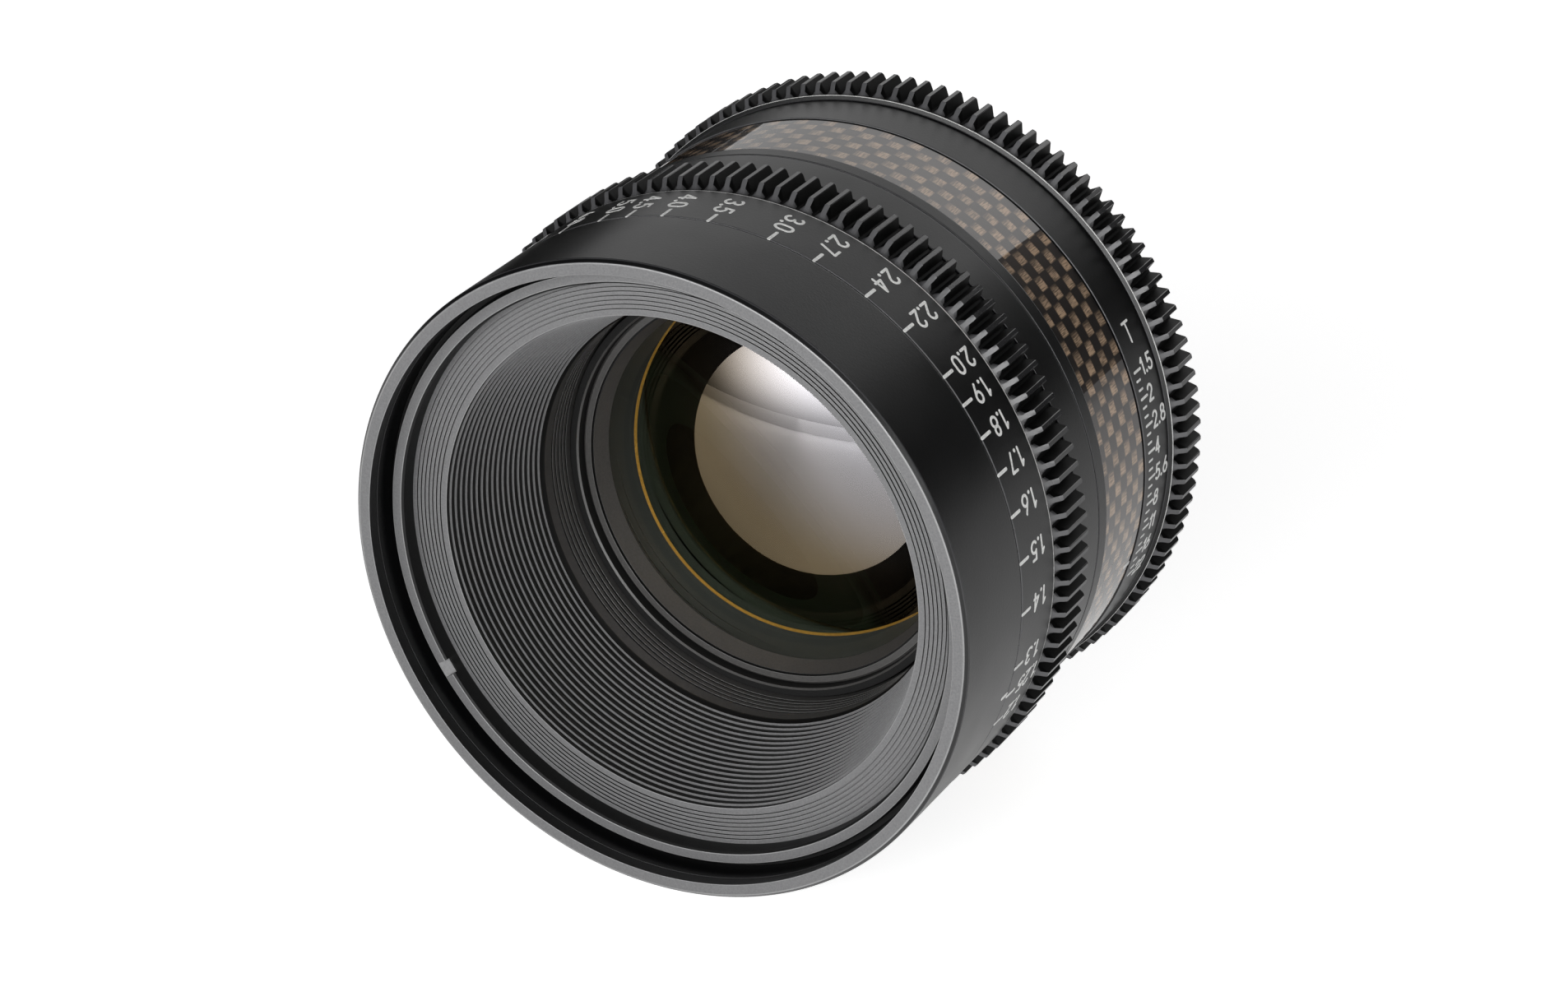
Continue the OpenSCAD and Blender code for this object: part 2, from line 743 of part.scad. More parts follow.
// Cell of the rear optics, with the cup that houses the iris
module rear_cell() {
    window_half = (iris_open + iris_close) / 2 + (arm_w / 2 + 0.9) / housing_bore * 180 / PI;
    window_mid = key_angle + (iris_close - iris_open) / 2;
    color("#4a4a4c") on_axis() difference() {
        lathe([
            [open_r, plate_z], [rear_r, plate_z], [rear_r, rear_cell_z], [rear_cell_r, rear_cell_z],
            [rear_cell_r, plate_z], [housing_r, plate_z], [housing_r, cell_z], [housing_bore, cell_z],
            [housing_bore, plate_top], [open_r, plate_top]
        ]);
        rotate(window_mid - window_half) rotate_extrude(angle = 2 * window_half)
            translate([housing_bore - 0.5, actuator_z - 0.1])
                square([housing_r - housing_bore + 1, actuator_t + 0.2]);
    }
}

// Front half of the rear doublet, hollow towards the iris
module rear_flint() {
    color("#8a8274", 0.5) on_axis()
        element(rear_r, rear_flint_v, -rear_flint_curve, rear_cement, 0, rear_cement, plate_z);
}

// Rear half of the rear doublet
module rear_crown() {
    color("#7d8a86", 0.5) on_axis()
        element(rear_r, rear_cement, 0, rear_crown_v, rear_crown_curve, rear_crown_v, rear_cement);
}

// Spacer between the rear doublet and the positive element
module rear_spacer() {
    high = rear_crown_v + sag(rear_crown_curve, rear_r) - EPS;
    low = positive_v - sag(positive_curve, rear_r) + EPS;
    color("#3c3c3e") on_axis() difference() {
        ring(rear_r - 1.4, rear_r, low, high);
        translate([0, 0, rear_crown_v + rear_crown_curve]) sphere(r = rear_crown_curve);
        translate([0, 0, positive_v - positive_curve]) sphere(r = positive_curve);
    }
}

// Biconvex element of the rear group
module rear_positive() {
    back_v = positive_v - positive_t;
    color("#7d8a86", 0.5) on_axis()
        element(rear_r, positive_v, positive_curve, back_v, positive_back_curve, back_v, positive_v);
}

// Spacer between the positive and the rear element
module thin_spacer() {
    back_v = positive_v - positive_t;
    high = back_v + sag(positive_back_curve, rear_r) - EPS;
    color("#3c3c3e") on_axis() difference() {
        ring(rear_r - 1.2, rear_r, rear_element_v, high);
        translate([0, 0, back_v + positive_back_curve]) sphere(r = positive_back_curve);
    }
}

// Rear glass, hollow towards the camera
module rear_element() {
    color("#7d8a86", 0.5) on_axis()
        element(rear_r, rear_element_v, 0, rear_element_v - rear_element_t, -rear_element_curve,
                rear_element_z, rear_element_v);
}

// Ring that holds the rear optics
module rear_retainer() {
    color("#5c5c5e") on_axis() ring(rear_r - 1.1, rear_r, rear_cell_z + 0.2, rear_element_z);
}

// Outer iris ring: scale band, gear and rear band
module iris_ring() {
    gear_z = iris_z + 2.6;
    gear_l = tooth_l - 1.2;
    lip_z = gear_z + gear_l + tooth_bevel + 0.6;
    band_r = front_r - 0.6;
    rear_edge_r = front_r - 2.6;
    color("#2d2d2f") on_axis() difference() {
        lathe(concat(
            [[ring_bore, iris_z], [rear_edge_r, iris_z]],
            gear_profile(gear_z, gear_l),
            [[relief_r, lip_z - 0.4], [front_r, lip_z], [front_r, lip_z + 0.5], [band_r, lip_z + 1.6],
             [band_r, iris_top - 0.2], [band_r - 0.2, iris_top], [ring_bore, iris_top]]
        ));
        tooth_gaps(gear_z, gear_l);
        rotate(key_angle) translate([ring_bore - 1, -key_w / 2, key_z - key_h / 2]) cube([2.4, key_w, key_h]);
    }
}

// Key that reaches from the iris ring through the main barrel to the actuator's arm
module iris_key() {
    fork_in = arm_r - 2.4;
    fork_out = arm_r + 0.3 + fork_back;
    fork_half = arm_w / 2 + slot_fit + fork_wall;
    fork_low = actuator_z - far_travel - 1;
    fork_high = actuator_top + near_travel + 1;
    color("#a08f5e") on_axis() rotate(key_angle) difference() {
        union() {
            translate([fork_in, -fork_half, fork_low])
                cube([fork_out - fork_in, 2 * fork_half, fork_high - fork_low]);
            translate([fork_out - EPS, -key_w / 2, key_z - key_h / 2])
                cube([ring_bore + 1.4 - fork_out + EPS, key_w, key_h]);
        }
        translate([fork_in - 1, -arm_w / 2 - slot_fit, fork_low - 1])
            cube([arm_r + 0.3 - fork_in + 1, arm_w + 2 * slot_fit, fork_high - fork_low + 2]);
    }
}

// Outline of one actuator slot around the drive pin's path
module slot_outline() {
    steps = 24;
    half = drive_r + slot_fit;
    span = iris_open + iris_close;
    path = [for (i = [0:steps]) slot_point(-iris_open + span * i / steps)];
    side = [
        for (i = [0:steps])
            let (d = path[min(i + 1, steps)] - path[max(i - 1, 0)])
                half * [-d[1], d[0]] / norm(d)
    ];
    polygon(concat(
        [for (i = [0:steps]) path[i] + side[i]],
        [for (i = [steps:-1:0]) path[i] - side[i]]
    ));
    for (end = [path[0], path[steps]]) {
        translate(end) circle(r = half);
    }
}

// Slotted ring that swings the blades, with the arm that the key drives
module iris_actuator() {
    color("#5a5b5e") on_axis() union() {
        difference() {
            ring(open_r + 0.8, actuator_r, actuator_z, actuator_top);
            for (i = [0:blades - 1]) {
                rotate(i * blade_pitch) translate([0, 0, actuator_z - 1])
                    linear_extrude(actuator_t + 2) slot_outline();
            }
        }
        rotate(key_angle) translate([actuator_r - 0.6, -arm_w / 2, actuator_z])
            cube([arm_r - actuator_r + 0.6, arm_w, actuator_t]);
    }
}

// One blade with its pivot pin and drive pin, at its rest angle; step counts its level in the stack
module iris_blade(step) {
    top = stack_top - step * blade_step;
    low = top - blade_t;
    pin = drive_pin(0);
    reach = blade_arc / 2;
    color("#3b3b3e") on_axis() rotate(step * blade_pitch)
        translate([pivot_r, 0, 0]) rotate(blade_rest) translate([-pivot_r, 0, 0]) {
            translate([0, 0, low]) linear_extrude(blade_t) {
                difference() {
                    intersection() {
                        circle(r = blade_outer);
                        polygon([
                            [0, 0], polar(3 * blade_outer, -3), polar(3 * blade_outer, reach),
                            polar(3 * blade_outer, blade_arc)
                        ]);
                    }
                    circle(r = open_r);
                }
                translate([pivot_r, 0]) circle(r = 1.5);
                translate(pin) circle(r = 1.1);
                polygon([
                    [pivot_r - 2, -1.2], [pivot_r, -1.5], pin + [1, -0.4], pin + [0, 1.1], pin - [3, -0.6]
                ]);
            }
            translate([pivot_r, 0, low]) cylinder(r = pin_r, h = base_z + base_t - 0.2 - low);
            translate([pin[0], pin[1], actuator_z + 0.1]) cylinder(r = drive_r, h = top - actuator_z - 0.1);
        }
}

front_barrel();
filter_ring();
front_baffle();
guide_tube();
main_barrel();
mid_ring();
carbon_band();
rear_barrel();
rear_screws();
mount_shim();
mount_flange();
mount_screws();
focus_ring();
cam_sleeve();
focus_screws();
focus_carriage();
cam_followers();
front_cell();
front_retainer();
front_element();
second_retainer();
second_element();
doublet_retainer();
front_crown();
front_flint();
iris_base();
rear_cell();
rear_flint();
rear_crown();
rear_spacer();
rear_positive();
thin_spacer();
rear_element();
rear_retainer();
iris_ring();
iris_key();
iris_actuator();
for (i = [1:blades]) {
    iris_blade(i - 1);
}
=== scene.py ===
"""Dress a cinema prime lens: turned rings, gears, scales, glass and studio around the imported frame.

Sizes are millimetres. Stations count forward along the optical axis from the flange seat, and angles
count from +X towards +Z, which is anticlockwise as seen from the front. The front looks along -Y.
"""

import functools
import logging
import math
from dataclasses import dataclass, field
from enum import Enum, IntEnum
from typing import Any, Mapping, Optional, Sequence

import bmesh
import bpy
import numpy as np
from mathutils import Matrix, Vector


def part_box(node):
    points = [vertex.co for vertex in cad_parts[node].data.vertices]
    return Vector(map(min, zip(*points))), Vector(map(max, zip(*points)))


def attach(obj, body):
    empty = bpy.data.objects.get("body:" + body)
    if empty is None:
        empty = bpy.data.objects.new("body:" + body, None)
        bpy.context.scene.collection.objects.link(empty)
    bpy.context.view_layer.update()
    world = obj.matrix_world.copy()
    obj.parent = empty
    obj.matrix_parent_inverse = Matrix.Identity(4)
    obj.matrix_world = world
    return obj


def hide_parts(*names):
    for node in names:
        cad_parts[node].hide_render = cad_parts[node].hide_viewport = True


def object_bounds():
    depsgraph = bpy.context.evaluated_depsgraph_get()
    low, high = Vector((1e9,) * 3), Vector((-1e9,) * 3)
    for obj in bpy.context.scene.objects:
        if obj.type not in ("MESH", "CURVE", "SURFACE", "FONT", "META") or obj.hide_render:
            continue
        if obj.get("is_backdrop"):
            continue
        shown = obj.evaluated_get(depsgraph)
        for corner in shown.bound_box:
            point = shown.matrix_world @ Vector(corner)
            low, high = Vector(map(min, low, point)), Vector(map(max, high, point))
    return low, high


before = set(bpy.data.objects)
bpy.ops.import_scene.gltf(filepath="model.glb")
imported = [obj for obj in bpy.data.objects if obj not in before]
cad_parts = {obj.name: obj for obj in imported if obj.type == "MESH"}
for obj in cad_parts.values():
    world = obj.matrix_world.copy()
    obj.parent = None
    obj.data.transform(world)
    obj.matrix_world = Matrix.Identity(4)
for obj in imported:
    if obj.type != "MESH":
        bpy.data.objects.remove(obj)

LOG = logging.getLogger("lens")
MM = 0.001
TURN = 2 * math.pi
# Angle from the photograph's own zero to +X of the frame
SCALE_TURN = math.radians(12.7)
# Rows round the axis for common rings, for wide plain ones, for the ridged baffle and for glass
ROWS, WIDE_ROWS, BAFFLE_ROWS, GLASS_ROWS = 288, 360, 160, 192
# Points of a glass side from its middle to its edge
GLASS_STEPS = 65
# Corners closer than this many metres are one
MERGE = 1e-7
# Edges that turn by more than this many degrees stay sharp in shading
SHARP = 38.0
# Fine play that keeps touching faces apart, in millimetres
PLAY, HAIR = 0.02, 0.01
# A face counts as a front face where at least this much of its normal points forward
FORWARD = 0.8
# A finish's slow drift is this wide in millimetres, and its noise lies mostly between two values
DRIFT = 18.0
COMMON_NOISE = (0.3, 0.7)
# Least and greatest share of the colour in a finish's speckle, and how much of its roughness edges lose
SPECKLE = (0.82, 1.18)
EDGE_POLISH = 0.6


class Body(Enum):
    """The moving groups of the frame that visible pieces ride on."""

    BARREL = "barrel"
    FOCUS = "focus"
    OPTICS = "optics"
    IRIS = "iris"


class Reading(Enum):
    """Which way a number on a ring reads: the sign of its step along the axis."""

    TOWARDS_FRONT = 1
    TOWARDS_REAR = -1


# Shapes

# Radius, station and setback of a profile's corner
Corner = tuple[float, float, float]


@dataclass(frozen=True)
class Span:
    """Where a turned node of the frame lies along the axis, and its largest radius."""

    rear: float
    front: float
    radius: float

    @classmethod
    def of(cls, node: str) -> "Span":
        """Read the span of a node from the frame."""
        low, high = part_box(node)
        return cls(-high.y / MM, -low.y / MM, high.x / MM)


def span_field(node: str) -> Any:
    """A field that reads a node's span when its class is built."""
    return field(default_factory=lambda: Span.of(node))


@dataclass
class Surface:
    """A mesh as whole arrays.

    Attributes:
        points: Corner places in millimetres, as (n, 3).
        quads: Corner numbers of the faces, as (m, 4).
        edge: How much each corner lies on a rounded edge, from 0 to 1.
        finish_index: Which of the piece's finishes each face has.
    """

    points: np.ndarray
    quads: np.ndarray
    edge: np.ndarray
    finish_index: Optional[np.ndarray] = None

    def join(self, other: "Surface") -> "Surface":
        """Put another surface into the same mesh."""
        return Surface(
            np.concatenate([self.points, other.points]),
            np.concatenate([self.quads, other.quads + len(self.points)]),
            np.concatenate([self.edge, other.edge]),
        )


def joined(surfaces: Sequence[Surface]) -> Surface:
    """Put several surfaces into one mesh."""
    return functools.reduce(Surface.join, surfaces)


def rounded(corners: Sequence[Corner], closed: bool = True, steps: int = 5) -> np.ndarray:
    """Round the corners of a profile.

    Each corner c with setback t becomes the parabola (1-s)^2 (c + t u) + 2 s (1-s) c + s^2 (c + t v), where u
    and v point along its two sides. One more point lies on each side, so that the flats stay flat in shading.

    Args:
        corners: Radius, station and setback of each corner.
        closed: Whether the last corner joins the first.
        steps: Points on each parabola.

    Returns:
        Radius, station and edge weight of each point, as (n, 3).
    """
    corner = np.array(corners, float)
    place = corner[:, :2]
    back = np.roll(place, 1, 0) - place
    ahead = np.roll(place, -1, 0) - place
    back_length = np.linalg.norm(back, axis=1)
    ahead_length = np.linalg.norm(ahead, axis=1)
    # Two setbacks never meet on a short side
    setback = np.minimum(corner[:, 2], 0.45 * np.minimum(back_length, ahead_length))
    if not closed:
        setback[[0, -1]] = 0
    u = (back / back_length[:, None] * setback[:, None])[:, None]
    v = (ahead / ahead_length[:, None] * setback[:, None])[:, None]
    c = place[:, None]
    s = np.linspace(0, 1, steps)[None, :, None]
    arc = (1 - s) ** 2 * (c + u) + 2 * s * (1 - s) * c + s ** 2 * (c + v)
    run = np.concatenate([c + 1.1 * u, arc, c + 1.1 * v], axis=1)
    weight = np.zeros(run.shape[:2])
    weight[:, 1:-1] = 1.0
    points = np.concatenate([run, weight[..., None]], axis=2).reshape(-1, 3)
    # Points of sharp corners fall together, and one of each stays
    moved = np.linalg.norm(np.diff(points[:, :2], axis=0, prepend=points[-1:, :2] + 1), axis=1)
    return points[moved > 1e-6]


def full_turn(count: int, *extra: float) -> np.ndarray:
    """Even angles round the axis, with a few more where a notch or a tab needs its edges."""
    return np.unique(np.concatenate([np.arange(count) * TURN / count, np.mod(extra, TURN)]))


def swept(profile: np.ndarray, angles: np.ndarray, loop: bool = True) -> Surface:
    """Carry a profile round the optical axis.

    Point (i, j) is (r cos a, -z, r sin a), for angle a of row i and radius r and station z of column j.

    Args:
        profile: Radius, station and edge weight as (n, 3), or as (angles, n, 3) where they change
            with the angle.
        angles: Angles of the rows, all round.
        loop: Whether the profile's last point joins its first.

    Returns:
        The surface, facing outwards where the profile runs anticlockwise in (radius, station).
    """
    rows = np.broadcast_to(profile, (len(angles),) + profile.shape[-2:])
    r, z, edge = rows[..., 0], rows[..., 1], rows[..., 2]
    a = angles[:, None]
    points = np.stack([r * np.cos(a), -z, r * np.sin(a)], axis=-1)
    count, columns = r.shape
    number = np.arange(count * columns).reshape(count, columns)
    following = np.roll(number, -1, 0)
    if loop:
        near, far = np.roll(number, -1, 1), np.roll(following, -1, 1)
    else:
        number, near = number[:, :-1], number[:, 1:]
        following, far = following[:, :-1], following[:, 1:]
    quads = np.stack([number, following, far, near], axis=-1)
    return Surface(points.reshape(-1, 3), quads.reshape(-1, 4), edge.reshape(-1).copy())


def painted_light_faces(
    profile: np.ndarray, faced: float, bands: Sequence[tuple[float, float, float]] = ()
) -> np.ndarray:
    """Which faces of a closed profile take a piece's second finish, a paler copy that paints the light
    falling on them.

    Args:
        profile: Radius, station and edge weight of each point.
        faced: Faces in front of this station that look forward take it, painted as lit from the front.
        bands: Rear station, front station and radius: faces between the two and within the radius
            take it too.

    Returns:
        One truth for each face of the profile.
    """
    run = np.roll(profile, -1, 0) - profile
    middle = profile + run / 2
    forward = -run[:, 0] / np.linalg.norm(run[:, :2], axis=1)
    chosen = (forward > FORWARD) & (middle[:, 1] > faced)
    for rear, front, radius in bands:
        chosen |= (middle[:, 1] > rear) & (middle[:, 1] < front) & (middle[:, 0] < radius)
    return chosen


def turned(
    corners: Sequence[Corner],
    count: int = ROWS,
    faced: float = math.inf,
    bands: Sequence[tuple[float, float, float]] = (),
    steps: int = 5,
) -> Surface:
    """A turned ring: a rounded profile carried round the axis.

    Args:
        corners: Radius, station and setback of each corner.
        count: Rows round the axis.
        faced: Faces in front of this station that look forward take the second finish, a paler copy painted
            as lit from the front.
        bands: Bands that take the second finish, as painted_light_faces has them.
        steps: Points on each rounded corner.

    Returns:
        The ring.
    """
    profile = rounded(corners, steps=steps)
    surface = swept(profile, full_turn(count))
    surface.finish_index = np.tile(painted_light_faces(profile, faced, bands).astype(int), count)
    return surface


def sag(curve: float, r: np.ndarray) -> np.ndarray:
    """Depth of a spherical surface of radius curve at radius r: c - sqrt(c^2 - r^2)."""
    return curve - np.sqrt(curve * curve - r * r)


def sag_at(curve: float, radius: float) -> float:
    """Sag of a sphere at one radius."""
    return float(sag(curve, np.array(radius)))


# Finishes


def linear(colour: str) -> tuple[float, float, float, float]:
    """Turn an sRGB hex value into linear light.

    Args:
        colour: The hex value with its hash sign.

    Returns:
        Linear red, green, blue and alpha.
    """
    value = np.array([int(colour[i:i + 2], 16) / 255 for i in (1, 3, 5)])
    value = np.where(value <= 0.04045, value / 12.92, ((value + 0.055) / 1.055) ** 2.4)
    return (*map(float, value), 1.0)


def add_node(
    tree: bpy.types.NodeTree, kind: str, settings: Optional[Mapping[Any, Any]] = None
) -> bpy.types.Node:
    """Add a shader node.

    Args:
        tree: The node tree.
        kind: The node's type name without its ShaderNode prefix.
        settings: Properties of the node, and its inputs by name or number, each a value or an output to link.

    Returns:
        The new node.
    """
    node = tree.nodes.new("ShaderNode" + kind)
    for key, value in (settings or {}).items():
        if isinstance(key, str) and key not in node.inputs:
            setattr(node, key, value)
        elif isinstance(value, bpy.types.NodeSocket):
            tree.links.new(value, node.inputs[key])
        else:
            node.inputs[key].default_value = value
    return node


def work_out(
    tree: bpy.types.NodeTree, operation: str, *values: Any, clamp: bool = False
) -> bpy.types.NodeSocket:
    """Add a Math node.

    Args:
        tree: The node tree.
        operation: What it works out.
        values: Its inputs in order, each a number or an output.
        clamp: Whether the result is held between 0 and 1.

    Returns:
        Its output.
    """
    settings = {"operation": operation, "use_clamp": clamp, **dict(enumerate(values))}
    return add_node(tree, "Math", settings).outputs[0]


def scaled(
    tree: bpy.types.NodeTree,
    value: bpy.types.NodeSocket,
    reach: tuple[float, float],
    result: tuple[float, float] = (0.0, 1.0),
    soft: bool = False,
) -> bpy.types.NodeSocket:
    """Add a Map Range node.

    Args:
        tree: The node tree.
        value: The output that it reads.
        reach: The two values that give the ends of the result.
        result: The ends of the result.
        soft: Whether the rise eases in and out.

    Returns:
        Its output.
    """
    return add_node(tree, "MapRange", {
        "interpolation_type": "SMOOTHSTEP" if soft else "LINEAR", "Value": value,
        "From Min": reach[0], "From Max": reach[1], "To Min": result[0], "To Max": result[1],
    }).outputs[0]


def mixed(
    tree: bpy.types.NodeTree, share: Any, first: Any, second: Any, blend: str = "MIX"
) -> bpy.types.NodeSocket:
    """Add a Mix node for two colours, each a linear colour or an output.

    Args:
        tree: The node tree.
        share: How much of the second one it takes.
        first: The first colour.
        second: The second colour.
        blend: How it blends them.

    Returns:
        Its output.
    """
    settings = {"data_type": "RGBA", "blend_type": blend, 0: share, 6: first, 7: second}
    return add_node(tree, "Mix", settings).outputs[2]


def bare_material(name: str) -> bpy.types.Material:
    """Make a material whose node tree is still empty."""
    material = bpy.data.materials.new(name)
    material.use_nodes = True
    material.node_tree.nodes.clear()
    return material


@dataclass(frozen=True)
class Finish:
    """A surface finish with fine grain, slow mottling and smoother edges, painted paler partly as wear and
    partly as a highlight.

    Attributes:
        name: Real material and how its surface was made.
        colour: Base colour.
        worn_highlit: Colour of its edges, where handling has polished them, which also paints a highlight
            along them.
        roughness: Mean roughness.
        metallic: 1 for bare metal.
        specular: Specular level, 0.5 for common dielectrics.
        grain: Width of one grain in millimetres.
        relief: Height of the grain in millimetres.
        mottle: How far the roughness drifts over the surface.
        wear_and_highlight: How much of the edge colour shows, wear and painted highlight together.
    """

    name: str
    colour: str
    worn_highlit: str
    roughness: float
    metallic: float = 0.0
    specular: float = 0.5
    grain: float = 0.3
    relief: float = 0.006
    mottle: float = 0.04
    wear_and_highlight: float = 0.4

    def build(self) -> bpy.types.Material:
        """Make the material."""
        material = bare_material(self.name)
        self.wire(material.node_tree)
        return material

    def wire(self, tree: bpy.types.NodeTree) -> None:
        """Lay out the nodes.

        Args:
            tree: The material's nodes.
        """
        place = add_node(tree, "TexCoord").outputs["Object"]
        grain = add_node(tree, "TexNoise", {
            "Scale": 1 / (self.grain * MM), "Detail": 2.0, "Roughness": 0.6, "Vector": place,
        }).outputs["Fac"]
        drift = add_node(tree, "TexNoise", {
            "Scale": 1 / (DRIFT * MM), "Detail": 3.0, "Vector": place,
        }).outputs["Fac"]
        edge = add_node(tree, "Attribute", {"attribute_name": "edge"}).outputs["Fac"]
        # Edges take the paler worn colour: partly handling wear, partly a painted highlight along them
        rubbed_and_highlit = work_out(tree, "MULTIPLY", work_out(tree, "MULTIPLY", edge, drift), self.wear_and_highlight)
        speckle = scaled(tree, grain, COMMON_NOISE, SPECKLE)
        tone = mixed(tree, 1.0, linear(self.colour), speckle, "MULTIPLY")
        colour = mixed(tree, rubbed_and_highlit, tone, linear(self.worn_highlit))
        drifting = scaled(
            tree, drift, COMMON_NOISE, (self.roughness - self.mottle, self.roughness + self.mottle))
        rough = work_out(tree, "MULTIPLY_ADD", edge, -self.wear_and_highlight * self.roughness * EDGE_POLISH, drifting)
        bump = add_node(tree, "Bump", {"Strength": 1.0, "Distance": self.relief * MM, "Height": grain})
        shader = add_node(tree, "BsdfPrincipled", {
            "Metallic": self.metallic, "Specular IOR Level": self.specular, "Base Color": colour,
            "Roughness": rough, "Normal": bump.outputs[0],
        })
        add_node(tree, "OutputMaterial", {"Surface": shader.outputs[0]})


@dataclass(frozen=True)
class Weave(Finish):
    """Plain-woven carbon tows under clear lacquer.

    Attributes:
        bright: Colour of the tows that catch the light, painted into the base colour as their sheen.
        sheen: Colour of the resin's own shine under the lacquer.
        cells: Tow crossings round the band.
        rows: Tow crossings along the band.
        rear: Station of the band's rear edge.
        length: Length of the band.
        fade: Distances from a tow's side between which it comes in, as shares of a cell.
        dip: Places across a cell between which a tow rises from under its neighbour.
        sunk: Share of its light that is left where it lies under.
        strands: Filaments across a cell, and how often one changes along it.
        streak: Least and greatest light of a filament.
        luck: Least and greatest light of a whole tow.
    """

    bright: str = "#ba9e82"
    sheen: str = "#e8b088"
    cells: int = 128
    rows: int = 7
    rear: float = 0.0
    length: float = 1.0
    fade: tuple[float, float] = (-0.02, 0.12)
    dip: tuple[float, float] = (0.9, 0.45)
    sunk: float = 0.25
    strands: tuple[float, float] = (12.0, 1.2)
    streak: tuple[float, float] = (0.35, 1.25)
    luck: tuple[float, float] = (0.7, 1.15)

    def wire(self, tree: bpy.types.NodeTree) -> None:
        """Lay out the nodes: angle and station count the cells, and every other cell shows its cross tow in a
        paler colour that paints its sheen.

        Args:
            tree: The material's nodes.
        """
        place = add_node(tree, "SeparateXYZ", {0: add_node(tree, "TexCoord").outputs["Object"]})
        angle = work_out(tree, "ARCTAN2", place.outputs["Z"], place.outputs["X"])
        pitch = self.length * MM / self.rows
        across = work_out(tree, "MULTIPLY_ADD", angle, self.cells / TURN, self.cells / 2.0)
        along = work_out(tree, "MULTIPLY_ADD", place.outputs["Y"], -1 / pitch, -self.rear * MM / pitch)
        column = work_out(tree, "FLOOR", across)
        row = work_out(tree, "FLOOR", along)
        parity = work_out(tree, "FLOORED_MODULO", work_out(tree, "ADD", column, row), 2.0)
        in_column = work_out(tree, "SUBTRACT", across, column)
        in_row = work_out(tree, "SUBTRACT", along, row)
        # The painted sheen of a tow is full inside its crossing and fades out over the last tenth at each
        # side, a painted shade towards its sides
        sides = []
        for part in (in_column, in_row):
            near = work_out(tree, "MINIMUM", part, work_out(tree, "SUBTRACT", 1.0, part))
            sides.append(scaled(tree, near, self.fade))
        inside = work_out(tree, "MULTIPLY", *sides)
        # It dips under its neighbour at one end, so painted shade darkens it towards that end
        crown = scaled(tree, in_column, self.dip, (self.sunk, 1.0))
        cell = add_node(tree, "CombineXYZ", {0: column, 1: row}).outputs[0]
        chance = add_node(tree, "TexWhiteNoise", {"noise_dimensions": "2D", "Vector": cell}).outputs["Value"]
        # Filaments run along the axis on the bright tows: fine across, long along, drawn at 0.15 mm to show
        strand = add_node(tree, "CombineXYZ", {0: across, 1: along}).outputs[0]
        stretch = add_node(tree, "VectorMath", {"operation": "MULTIPLY", 0: strand, 1: (*self.strands, 1.0)})
        filament = add_node(tree, "TexNoise", {"Scale": 1.0, "Detail": 1.0, "Vector": stretch.outputs[0]})
        streak = scaled(tree, filament.outputs["Fac"], (0.35, 0.65), self.streak)
        luck = scaled(tree, chance, (0.0, 1.0), self.luck)
        light = work_out(tree, "MULTIPLY", streak, work_out(tree, "MULTIPLY", inside, crown))
        shown = work_out(tree, "MULTIPLY", light, luck)
        tow = work_out(tree, "MULTIPLY", shown, parity, clamp=True)
        shader = add_node(tree, "BsdfPrincipled", {
            "Base Color": mixed(tree, tow, linear(self.colour), linear(self.bright)),
            "Roughness": self.roughness, "Specular IOR Level": self.specular,
            "Specular Tint": linear(self.sheen), "Coat Weight": 1.0, "Coat Roughness": 0.02, "Coat IOR": 1.5,
        })
        add_node(tree, "OutputMaterial", {"Surface": shader.outputs[0]})


